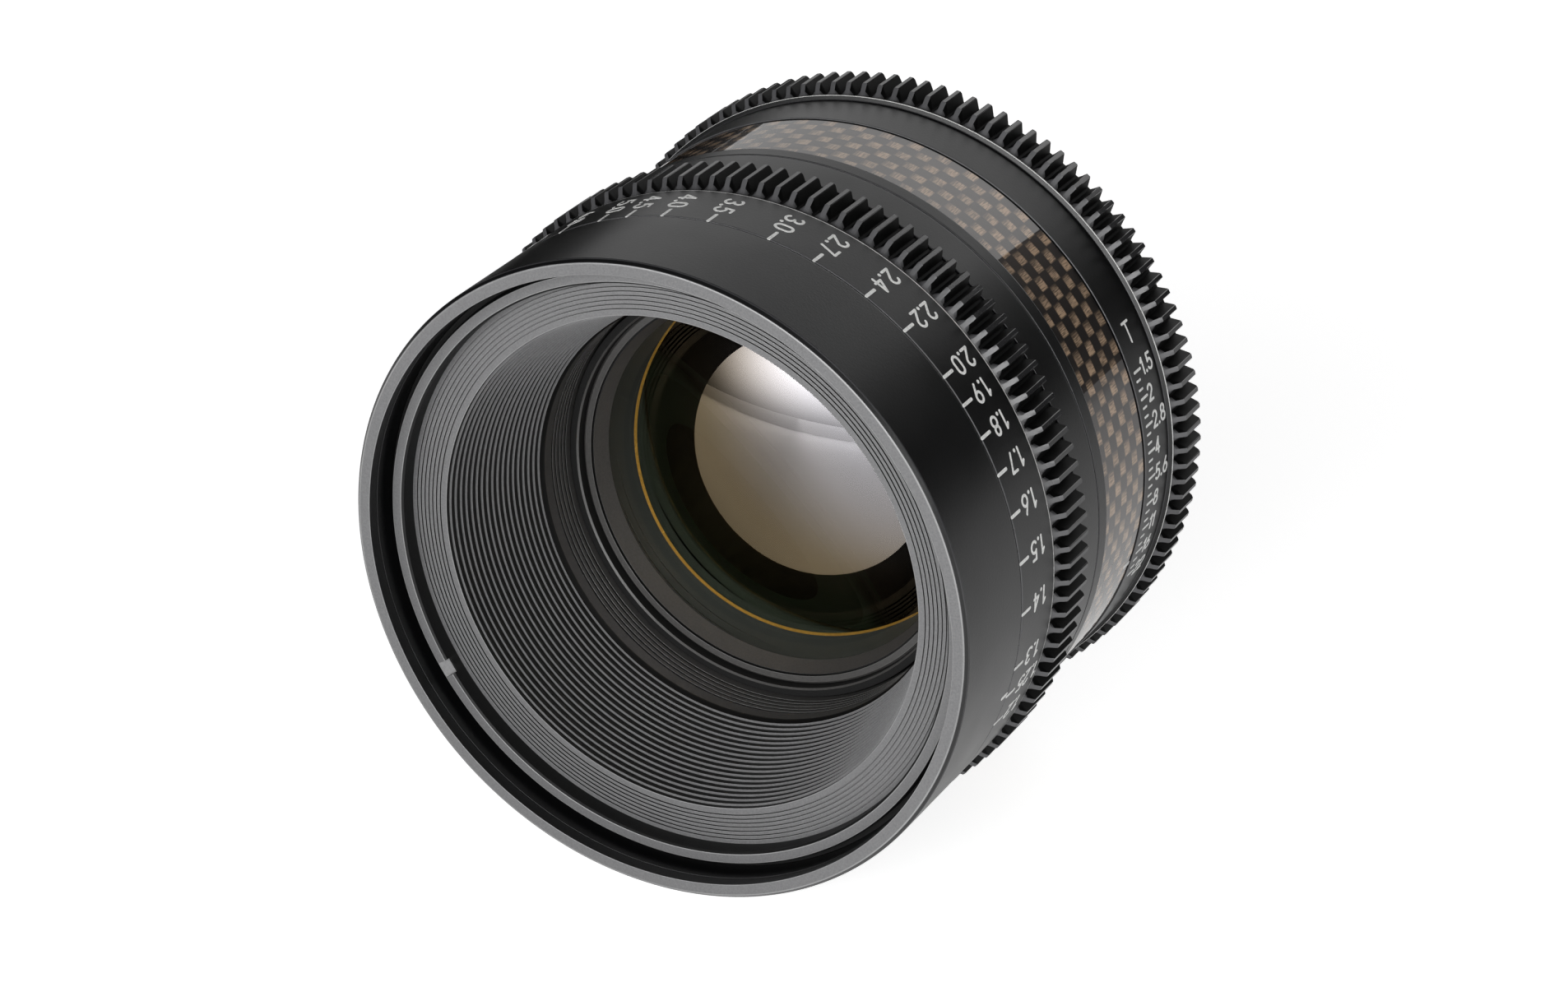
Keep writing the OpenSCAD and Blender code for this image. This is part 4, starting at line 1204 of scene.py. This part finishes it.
@dataclass
class FocusRing:
    """The turning focus ring with its gear and its distance scale."""

    span: Span = span_field("focus_ring")
    band_radius: float = 47.5
    rear_radius: float = 47.2
    bore: float = 45.05
    sleeve_radius: float = 41.0
    web_setback: float = 7.4
    web: float = 3.0
    gear_setback: float = 6.7
    tooth_length: float = 6.7
    neck: float = 0.4
    lip_gap: float = 0.9
    lip_rise: float = 0.7
    edge: float = 0.22
    edge_start: float = 0.1
    facet: float = 0.12
    tick_gap: float = 0.1
    tick_length: float = 2.4
    tick_width: float = 0.5
    number_gap: float = 3.65
    number_height: float = 2.6
    far_angle: float = 151.2
    reach: float = 280.0
    offset: float = 0.3
    distances: tuple[str, ...] = (
        "1.2", "1.25", "1.3", "1.4", "1.5", "1.6", "1.7", "1.8", "1.9", "2.0", "2.2", "2.4",
        "2.7", "3.0", "3.5", "4.0", "4.5", "5.0", "6.0", "8.0", "10", "15", "30",
    )

    def build(self) -> None:
        """Build the ring and its scale."""
        s = self.span
        gear = Gear(s.rear + self.gear_setback, self.tooth_length)
        lip = gear.end + self.lip_gap
        web = s.rear + self.web_setback
        lower = rounded([
            (self.bore, s.rear, 0), (self.rear_radius, s.rear, 0.2),
            (self.rear_radius, gear.rear - self.neck, 0.1), (gear.relief, gear.rear - self.neck, 0),
            (gear.relief, gear.rear - PLAY, 0),
        ], closed=False)
        upper = rounded([
            (gear.relief, gear.end + PLAY, 0), (gear.relief, lip - self.lip_rise, 0.08),
            (self.band_radius, lip, 0.1), (self.band_radius, lip + self.edge, 0),
            (self.band_radius, s.front, 0.15), (self.bore, s.front, 0), (self.bore, web + self.web, 0),
            (self.sleeve_radius, web + self.web, 0), (self.sleeve_radius, web, 0), (self.bore, web, 0),
        ], closed=False)
        # A thin band at the lip is painted near white as a highlight, and the front corner a paler grey as
        # lit
        surface = geared_ring(lower, gear, upper, [
            (lip - self.edge_start, lip + self.edge, RingPart.PAINTED_HIGHLIGHT),
            (s.front - self.facet, s.front, RingPart.FACET),
        ])
        make_piece("focus_ring_geared", surface, RING_FINISHES, Body.FOCUS, ["focus_ring"])
        make_piece("focus_scale", joined(self.marks()), [WHITE_ENAMEL], Body.FOCUS)

    def angle_of(self, distance: float) -> float:
        """Angle of a distance on the scale: it falls as one over the distance."""
        return math.radians(self.far_angle - self.reach / (distance + self.offset)) + SCALE_TURN

    def marks(self) -> list[Surface]:
        """Draw the distance scale.

        Returns:
            Its ticks and numbers, with an infinity sign for the far end.
        """
        marker = Marker(self.band_radius)
        front = self.span.front - self.tick_gap
        places = [(text, self.angle_of(float(text))) for text in self.distances]
        places.append(("o", math.radians(self.far_angle) + SCALE_TURN))
        made = []
        for text, angle in places:
            made.append(marker.tick(angle, front - self.tick_length, front, self.tick_width))
            made.append(marker.word(text, self.number_height, angle, front - self.number_gap,
                                    Reading.TOWARDS_FRONT))
        return made


@dataclass
class Waist:
    """The fixed middle: the mid ring, the carbon band and the index marks."""

    mid: Span = span_field("mid_ring")
    band: Span = span_field("carbon_band")
    barrel: Span = span_field("front_barrel")
    seat: float = 46.0
    edge: float = 0.15
    index_angle: float = math.radians(-28.5) + SCALE_TURN
    index_setback: float = 0.3
    index_length: float = 1.6
    far_length: float = 7.0
    index_width: float = 0.7

    def build(self) -> None:
        """Build the two rings and the index marks."""
        b = self.band
        make_piece("mid_ring_turned", self.ring(self.mid, 0.25, 0.15), [SATIN_BLACK], Body.BARREL,
                   ["mid_ring"])
        weave = Weave("carbon_plain_weave_lacquered", "#060608", "#000000", 0.45, specular=0.32,
                      rear=b.rear, length=b.front - b.rear)
        make_piece("carbon_band_woven", self.ring(b, self.edge, self.edge), [weave], Body.BARREL,
                   ["carbon_band"])
        # For the iris ring, for the focus ring and at the far side
        marks = [
            Marker(span.radius).tick(
                angle, span.rear + self.index_setback, span.rear + length, self.index_width)
            for span, angle, length in (
                (b, self.index_angle, self.index_length),
                (self.barrel, self.index_angle, self.index_length),
                (b, self.index_angle + math.pi, self.far_length),
            )
        ]
        make_piece("index_marks", joined(marks), [WHITE_ENAMEL], Body.BARREL)

    def ring(self, span: Span, rear_edge: float, front_edge: float) -> Surface:
        """Turn a plain ring.

        Args:
            span: Its stations and radius.
            rear_edge: Setback of its outer edge behind.
            front_edge: Setback of its outer edge in front.

        Returns:
            Its surface.
        """
        return turned([
            (self.seat, span.rear, 0), (span.radius, span.rear, rear_edge),
            (span.radius, span.front, front_edge), (self.seat, span.front, 0),
        ], WIDE_ROWS)


@dataclass
class IrisRing:
    """The turning iris ring with its gear and its T scale."""

    span: Span = span_field("iris_ring")
    band_radius: float = 46.9
    lip_radius: float = 47.5
    rear_radius: float = 44.9
    bore: float = 44.05
    gear_setback: float = 2.6
    tooth_length: float = 5.5
    neck: float = 0.4
    lip_gap: float = 0.6
    lip_length: float = 0.5
    edge_round: float = 0.05
    edge: float = 0.22
    edge_start: float = 0.1
    facet: float = 0.12
    first_stop: float = 7.7
    stop_step: float = 5.0
    tick_gap: float = 1.3
    tick_length: float = 2.0
    tick_width: float = 0.4
    third_share: float = 0.55
    third_width: float = 0.35
    number_gap: float = 3.8
    number_height: float = 2.3
    sides: int = 2
    stops: tuple[str, ...] = ("1.5", "2", "2.8", "4", "5.6", "8", "11", "16", "22")
    letter_angle: float = 14.4
    letter_height: float = 3.0
    letter_gap: float = 2.8

    def build(self) -> None:
        """Build the ring and its scale."""
        s = self.span
        gear = Gear(s.rear + self.gear_setback, self.tooth_length)
        lip = gear.end + self.lip_gap
        lower = rounded([
            (self.bore, s.rear, 0), (self.rear_radius, s.rear, 0.2),
            (gear.relief, gear.rear - self.neck, 0), (gear.relief, gear.rear - PLAY, 0),
        ], closed=False)
        upper = rounded([
            (gear.relief, gear.end + PLAY, 0), (gear.relief, lip - self.neck, 0.06),
            (self.lip_radius, lip, 0.1), (self.lip_radius, lip + self.edge, self.edge_round),
            (self.band_radius, lip + self.lip_length, 0.1), (self.band_radius, s.front, 0.15),
            (self.bore, s.front, 0),
        ], closed=False)
        # A thin band at the lip is painted near white as a highlight, and the front corner a paler grey as
        # lit
        surface = geared_ring(lower, gear, upper, [
            (lip - self.edge_start, lip + self.edge + self.edge_round, RingPart.PAINTED_HIGHLIGHT),
            (s.front - self.facet, s.front, RingPart.FACET),
        ])
        make_piece("iris_ring_geared", surface, RING_FINISHES, Body.IRIS, ["iris_ring"])
        make_piece("iris_scale", joined(self.marks()), [WHITE_ENAMEL], Body.IRIS)

    def marks(self) -> list[Surface]:
        """Draw the T scale.

        Returns:
            Its ticks, third stops and numbers, on every side of the ring.
        """
        marker = Marker(self.band_radius, pen=self.tick_width)
        front = self.span.front
        start = front - self.tick_gap
        made = []
        for side in range(self.sides):
            origin = SCALE_TURN + side * TURN / self.sides
            for i, text in enumerate(self.stops):
                angle = math.radians(self.first_stop - self.stop_step * i) + origin
                made.append(marker.tick(angle, start - self.tick_length, start, self.tick_width))
                made.append(marker.word(text, self.number_height, angle, front - self.number_gap,
                                        Reading.TOWARDS_REAR))
                if i + 1 < len(self.stops):
                    for third in (1, 2):
                        small = angle - math.radians(self.stop_step) * third / 3
                        rear = start - self.tick_length * self.third_share
                        made.append(marker.tick(small, rear, start, self.third_width))
            letter = math.radians(self.letter_angle) + origin
            made.append(marker.word("T", self.letter_height, letter, front - self.letter_gap,
                                    Reading.TOWARDS_REAR))
        return made


@dataclass
class RearHousing:
    """The fixed rear: tapered barrel, mount flange, shim and screws."""

    def build(self) -> None:
        """Dress the rear nodes, whose holes and tabs are in the frame."""
        dress(SATIN_BLACK, "rear_barrel")
        dress(SCREW_STEEL, "rear_screws", "mount_screws")
        dress(MOUNT_STEEL, "mount_flange", "mount_shim")


@dataclass(frozen=True)
class Element:
    """A glass element: its edge radius and, for each side, the vertex station and the radius of curvature.

    A positive curve bulges outwards, a negative one is hollow and zero is flat. A hollow back ends in
    the flat ground seat at the station given.
    """

    name: str
    radius: float
    front: float
    front_curve: float
    back: float
    back_curve: float
    front_finish: Finish
    back_finish: Finish
    nodes: tuple[str, ...]
    seat: float = -math.inf

    def depth(self, curve: float, r: np.ndarray) -> np.ndarray:
        """How far a side lies inside its vertex plane at radius r."""
        return np.sign(curve) * sag(abs(curve), r) if curve else np.zeros_like(r)

    def build(self) -> None:
        """Sweep the element.

        With s the sag, its back is z + s(r) but no lower than the seat, and its front is z - s(r).
        """
        r = np.linspace(0, self.radius, GLASS_STEPS)
        back = np.stack([r, np.maximum(self.back + self.depth(self.back_curve, r), self.seat), 0 * r], axis=1)
        front = np.stack([r, self.front - self.depth(self.front_curve, r), 0 * r], axis=1)[::-1]
        surface = swept(np.concatenate([back, front]), full_turn(GLASS_ROWS), loop=False)
        columns = np.zeros(2 * len(r) - 1, int)
        # The ground seat and the edge are blackened
        columns[:len(r) - 1] = back[1:, 1] <= self.seat
        columns[len(r) - 1] = 1
        columns[len(r):] = 2
        surface.finish_index = np.broadcast_to(columns, (GLASS_ROWS, len(columns))).reshape(-1)
        make_piece(self.name + "_polished", surface, [self.back_finish, CELL_BLACK, self.front_finish],
                   Body.OPTICS, self.nodes)


@dataclass
class FrontOptics:
    """The moving front cell with its retaining rings and glass."""

    cell: Span = span_field("front_cell")
    bore: float = 30.6
    clear_radius: float = 28.0
    cell_edge: float = 0.25
    land_drop: float = 1.55
    land_setback: float = 0.4
    land_width: float = 0.9
    trough_width: float = 0.25
    gold_radius: float = 22.2
    gold_width: float = 0.45
    front_vertex: float = 2.4
    front_curve: float = 60.0
    front_thickness: float = 10.6
    second_gap: float = 1.1
    second_radius: float = 26.0
    second_curve: float = 42.0
    second_back: float = 75.0
    second_thickness: float = 7.2
    doublet_radius: float = 22.0
    crown_gap: float = 1.0
    crown_curve: float = 40.0
    crown_thickness: float = 7.3
    flint_thickness: float = 2.0
    flint_curve: float = 30.0
    seat_thickness: float = 1.3
    lip_width: float = 4.0
    step_wall: float = 1.6
    step_depth: float = 5.5
    land_bevel: float = 0.3
    trough_depth: float = 0.5
    crest_drop: float = 0.25
    face_reach: float = 0.2

    def build(self) -> None:
        """Build the glass and the rings that hold it."""
        top = self.cell.front
        front_v = top + self.front_vertex
        front_back = front_v - self.front_thickness
        second_v = front_back - self.second_gap
        second_back = second_v - self.second_thickness
        crown_v = second_back - self.crown_gap
        flint_back = crown_v - self.crown_thickness - self.flint_thickness
        Element("front_element", self.bore - HAIR, front_v, self.front_curve, front_back, 0,
                FRONT_GLASS, INNER_GLASS, ("front_element",)).build()
        Element("second_element", self.second_radius - HAIR, second_v, self.second_curve, second_back,
                -self.second_back, INNER_GLASS, INNER_GLASS, ("second_element",)).build()
        # The cemented pair is one body of glass to the eye
        Element("front_doublet", self.doublet_radius - HAIR, crown_v, self.crown_curve, flint_back,
                -self.flint_curve, INNER_GLASS, INNER_GLASS, ("front_crown", "front_flint"),
                self.cell.rear + self.seat_thickness).build()
        self.build_retainers(front_v, second_v)
        self.build_cell(front_back, second_back - sag_at(self.second_back, self.second_radius))
        dress(CELL_BLACK, "doublet_retainer")

    def build_cell(self, front_back: float, second_edge: float) -> None:
        """Turn the cell: a black rim with one edge painted pale as a highlight, and black steps behind the
        front glass.

        Args:
            front_back: Station of the front element's back.
            second_edge: Station of the second element's rear edge.
        """
        c, step = self.cell, self.second_radius + self.step_wall
        lip, floor = self.doublet_radius - self.lip_width, c.rear + self.seat_thickness
        shelf = front_back - self.step_depth
        surface = turned([
            (lip, c.rear, 0), (c.radius, c.rear, 0.1), (c.radius, c.front, 0.1),
            (self.bore + self.cell_edge, c.front, 0), (self.bore, c.front - self.cell_edge, 0),
            (self.bore, front_back, 0), (step, front_back, 0), (step, shelf, 0),
            (self.second_radius, shelf, 0), (self.second_radius, second_edge, 0),
            (self.doublet_radius, second_edge, 0), (self.doublet_radius, floor, 0), (lip, floor, 0),
        ], bands=[(c.front - self.cell_edge, c.front - HAIR, self.bore + self.cell_edge)])
        make_piece("front_cell_turned", surface, [CELL_BLACK, CELL_GREY], Body.OPTICS,
                   ["front_cell"])

    def build_retainers(self, front_v: float, second_v: float) -> None:
        """Turn the front and second retaining rings: the front one's lit faces painted pale grey, and a bevel
        on the second painted gold as a glint.

        Args:
            front_v: Station of the front element's vertex.
            second_v: Station of the second element's vertex.
        """
        seat = front_v - sag_at(self.front_curve, self.bore) + PLAY
        inner_seat = front_v - sag_at(self.front_curve, self.clear_radius) + PLAY
        land = self.cell.front - self.land_drop
        shelf, trough = self.bore - self.land_setback, self.bore - self.land_setback - self.land_width
        crest = trough - self.trough_width
        # Its forward faces and inner bevel are painted pale grey as lit; the rest is black
        surface = turned([
            (self.clear_radius, inner_seat, 0), (self.bore, seat, 0),
            (self.bore, land - self.land_bevel, 0.05), (shelf, land, 0.05), (trough, land, 0.05),
            (trough, land - self.trough_depth, 0.02),
            (crest, land - self.trough_depth, 0.02), (crest, land - self.crest_drop, 0.05),
        ], faced=land - self.face_reach, bands=[(seat, land - self.crest_drop, crest)])
        make_piece("front_retainer_ring", surface, [CELL_BLACK, CELL_GREY], Body.OPTICS,
                   ["front_retainer"])
        r, inner, edge = self.second_radius, self.gold_radius, self.gold_width
        low = second_v - sag_at(self.second_curve, r) + PLAY
        inner_low = second_v - sag_at(self.second_curve, inner) + PLAY
        high = inner_low + 2 * edge
        # The bevel's gold colour paints the glint of the gold line
        surface = turned([
            (inner, inner_low, 0), (r, low, 0), (r, high, 0), (inner + edge, high, 0),
            (inner, high - edge, 0),
        ], bands=[(high - edge, high - HAIR, inner + edge)])
        make_piece("second_retainer_ring", surface, [CELL_BLACK, GOLD_GLINT_EDGE], Body.OPTICS,
                   ["second_retainer"])


@dataclass
class RearOptics:
    """The moving rear cell with its glass."""

    def build(self) -> None:
        """Dress the rear nodes of the moving optics."""
        dress(CELL_GREY, "rear_cell", "rear_retainer")
        dress(CELL_BLACK, "rear_spacer", "thin_spacer")
        dress(GREEN_GLASS, "rear_flint", "rear_crown")
        dress(PURPLE_GLASS, "rear_positive")
        dress(GREEN_GLASS, "rear_element")


@dataclass
class InnerWorks:
    """Sealed pieces that carry and drive the optics and the iris."""

    blades: int = 11

    def build(self) -> None:
        """Dress the inner nodes."""
        dress(BARE_ALUMINIUM, "guide_tube", "cam_sleeve", "focus_carriage")
        dress(SATIN_BLACK, "main_barrel")
        dress(SCREW_STEEL, "focus_screws")
        dress(BRASS, "cam_followers", "iris_key")
        dress(PLATE_GREEN, "iris_base")
        dress(CELL_BLACK, "iris_actuator")
        dress(BLADE_STEEL, *(f"iris_blade_{i + 1}" for i in range(self.blades)))


# Studio


class Axis(Enum):
    """Direction across the face of a light."""

    ACROSS = "X"
    UP = "Y"


@dataclass(frozen=True)
class Ramp:
    """A soft rise of brightness over a light's face.

    Attributes:
        axis: Direction of the rise.
        dim: Place of its dim end, from 0 to 1.
        full: Place of its bright end, from 0 to 1.
        share: Share of the brightness at the dim end.
    """

    axis: Axis
    dim: float
    full: float
    share: float


@dataclass(frozen=True)
class Softbox:
    """A rectangular soft light whose face fades towards its sides.

    Attributes:
        name: Name of the light.
        place: Its centre in metres.
        size: Its width and height in metres.
        radiance: How bright its brightest part is, where 1 is white.
        ramps: Where its face fades. Across runs to the right as seen from behind the light.
    """

    name: str
    place: tuple[float, float, float]
    size: tuple[float, float]
    radiance: float
    ramps: tuple[Ramp, ...]

    def build(self, target: Vector) -> None:
        """Hang the light so that it faces the target.

        Args:
            target: The point that it is turned to.
        """
        light = bpy.data.lights.new(self.name, "AREA")
        light.shape = "RECTANGLE"
        light.size, light.size_y = self.size
        light.energy = self.radiance * math.pi * self.size[0] * self.size[1]
        light.use_nodes = True
        self.fade_face(light.node_tree)
        lamp = bpy.data.objects.new(self.name, light)
        turn = (target - Vector(self.place)).to_track_quat("-Z", "Y").to_matrix().to_4x4()
        lamp.matrix_world = Matrix.Translation(self.place) @ turn
        bpy.context.scene.collection.objects.link(lamp)

    def fade_face(self, tree: bpy.types.NodeTree) -> None:
        """Multiply the brightness by each ramp.

        Args:
            tree: The nodes of the light.
        """
        tree.nodes.clear()
        place = add_node(tree, "SeparateXYZ", {0: add_node(tree, "NewGeometry").outputs["Parametric"]})
        level: Any = 1.0
        for ramp in self.ramps:
            spot = place.outputs[ramp.axis.value]
            rise = scaled(tree, spot, (ramp.dim, ramp.full), (ramp.share, 1.0), soft=True)
            level = work_out(tree, "MULTIPLY", level, rise)
        glow = add_node(tree, "Emission", {"Strength": level})
        add_node(tree, "OutputLight", {"Surface": glow.outputs[0]})


@dataclass
class Studio:
    """A white table with a black card on it, two soft lights, a dim room and the camera."""

    image_width: float = 1906.0
    focal_pixels: float = 5042.0
    sensor: float = 36.0
    azimuth: float = math.radians(27.56)
    elevation: float = math.radians(26.0)
    rim_right: float = -18.03
    rim_down: float = 12.85
    rim_ahead: float = 563.5
    floor_size: float = 8.0
    floor_glow: float = 0.76
    mirror_glow: float = 0.45
    room_light: float = 0.03
    pool_glow: float = 0.55
    pool_slope: tuple[float, float, float] = (1.0, -0.25, 0.0)
    pool_side: tuple[float, float] = (-0.01, 0.07)
    pool_ahead: tuple[float, float] = (-0.05, -0.13)
    glow_near: float = 0.16
    glow_far: float = 0.5
    card: tuple[tuple[float, float], ...] = (
        (-0.06, 0.26), (-0.26, 0.12), (-2.9, 2.6), (-1.9, 3.9),
    )
    card_lift: float = 0.002
    lights: tuple[Softbox, ...] = (
        Softbox("front_softbox", (0.02, -0.8, 0.185), (1.76, 0.5), 7.0,
                (Ramp(Axis.UP, 0.0, 0.56, 0.12), Ramp(Axis.ACROSS, 0.02, 0.42, 0.1))),
        Softbox("back_softbox", (-0.16, 0.8, 0.34), (0.98, 0.56), 1.6, (Ramp(Axis.ACROSS, 1.0, 0.2, 0.4),)),
    )

    def build(self) -> None:
        """Build the floor, the lights, the world and the camera."""
        low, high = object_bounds()
        self.build_floor(low.z)
        for light in self.lights:
            light.build((low + high) / 2)
        self.build_flag(low.z)
        self.build_world()
        self.build_camera()
        bpy.context.scene.view_settings.view_transform = "Standard"

    def build_floor(self, height: float) -> None:
        """Lay the white table under the lens.

        Args:
            height: Height of the table.
        """
        half = self.floor_size / 2
        material = bare_material("white_table_matt")
        self.wire_floor(material.node_tree)
        corners = [(-half, -half), (half, -half), (half, half), (-half, half)]
        table = self.sheet("white_table", corners, height, material)
        table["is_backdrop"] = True

    def wire_floor(self, tree: bpy.types.NodeTree) -> None:
        """Lay out the table's nodes.

        Its own light, for the eye and for mirrors alone, makes it white around the shadow and wholly
        white far off.

        Args:
            tree: The material's nodes.
        """
        surface = add_node(tree, "BsdfDiffuse", {"Color": linear("#e6e6e6")})
        path = add_node(tree, "LightPath")
        place = add_node(tree, "TexCoord").outputs["Object"]
        away = add_node(tree, "VectorMath", {"operation": "LENGTH", 0: place}).outputs["Value"]
        level = scaled(tree, away, (self.glow_near, self.glow_far), (self.floor_glow, 1.0), soft=True)
        seen = work_out(tree, "MULTIPLY", level, path.outputs["Is Camera Ray"])
        mirrored = work_out(
            tree, "MAXIMUM", path.outputs["Is Glossy Ray"], path.outputs["Is Transmission Ray"])
        # A painted pool of light ahead of the lens on its right: glow on the table that only mirrors see,
        # which the front glass mirrors
        slope = add_node(tree, "VectorMath", {"operation": "DOT_PRODUCT", 0: place, 1: self.pool_slope})
        side = scaled(tree, slope.outputs["Value"], self.pool_side, soft=True)
        parts = add_node(tree, "SeparateXYZ", {0: place})
        ahead = scaled(tree, parts.outputs["Y"], self.pool_ahead, soft=True)
        pool = work_out(tree, "MULTIPLY", side, ahead)
        shine = work_out(tree, "MULTIPLY_ADD", pool, self.pool_glow, self.mirror_glow)
        strength = work_out(tree, "MULTIPLY_ADD", mirrored, shine, seen)
        glow = add_node(tree, "Emission", {"Strength": strength})
        both = add_node(tree, "AddShader", {0: surface.outputs[0], 1: glow.outputs[0]})
        add_node(tree, "OutputMaterial", {"Surface": both.outputs[0]})

    def build_flag(self, height: float) -> None:
        """Lay a black card behind the lens on its left, which keeps the white table out of the lacquer there.

        Args:
            height: Height of the table.
        """
        material = bare_material("black_card_matt")
        surface = add_node(material.node_tree, "BsdfDiffuse", {"Color": linear("#050505")})
        add_node(material.node_tree, "OutputMaterial", {"Surface": surface.outputs[0]})
        card = self.sheet("black_card", self.card, height + self.card_lift, material)
        # Only reflections see the card
        card.visible_camera = card.visible_diffuse = card.visible_transmission = card.visible_shadow = False
        card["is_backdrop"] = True

    def sheet(
        self, name: str, corners: Sequence[tuple[float, float]], height: float, material: bpy.types.Material
    ) -> bpy.types.Object:
        """Put a flat sheet of four corners into the scene.

        Args:
            name: Its name.
            corners: Its corners in metres, seen from above.
            height: Its height.
            material: Its material.

        Returns:
            The sheet.
        """
        mesh = bpy.data.meshes.new(name)
        mesh.from_pydata([(x, y, height) for x, y in corners], [], [(0, 1, 2, 3)])
        mesh.materials.append(material)
        made = bpy.data.objects.new(name, mesh)
        bpy.context.scene.collection.objects.link(made)
        return made

    def build_world(self) -> None:
        """Keep the room around the table dim, but white to the eye beyond the table's edge."""
        world = bpy.data.worlds.new("dim_room")
        world.use_nodes = True
        tree = world.node_tree
        tree.nodes.clear()
        seen = add_node(tree, "LightPath").outputs["Is Camera Ray"]
        strength = work_out(tree, "MULTIPLY_ADD", seen, 1 - self.room_light, self.room_light)
        room = add_node(tree, "Background", {"Color": linear("#ffffff"), "Strength": strength})
        add_node(tree, "OutputWorld", {"Surface": room.outputs[0]})
        bpy.context.scene.world = world

    def build_camera(self) -> None:
        """Stand the camera where the front rim's centre lies at its measured place in the view."""
        a, e = self.azimuth, self.elevation
        right = Vector((math.cos(a), math.sin(a), 0))
        up = Vector((-math.sin(a) * math.sin(e), math.cos(a) * math.sin(e), math.cos(e)))
        back = Vector((math.sin(a) * math.cos(e), -math.cos(a) * math.cos(e), math.sin(e)))
        rim = Vector((0, -Span.of("front_barrel").front * MM, 0))
        data = bpy.data.cameras.new("camera")
        data.sensor_fit = "HORIZONTAL"
        data.sensor_width = self.sensor
        data.lens = self.sensor * self.focal_pixels / self.image_width
        camera = bpy.data.objects.new("camera", data)
        turn = Matrix((right, up, back)).transposed().to_4x4()
        place = rim + (-right * self.rim_right + up * self.rim_down + back * self.rim_ahead) * MM
        camera.matrix_world = Matrix.Translation(place) @ turn
        bpy.context.scene.collection.objects.link(camera)
        bpy.context.scene.camera = camera


def main() -> None:
    """Build the lens and its studio."""
    logging.basicConfig(level=logging.INFO, format="%(name)s: %(message)s")
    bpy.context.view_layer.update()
    assemblies = (
        FrontHousing(), FocusRing(), Waist(), IrisRing(), RearHousing(), FrontOptics(), RearOptics(),
        InnerWorks(), Studio(),
    )
    for assembly in assemblies:
        assembly.build()


if __name__ == "__main__":
    main()
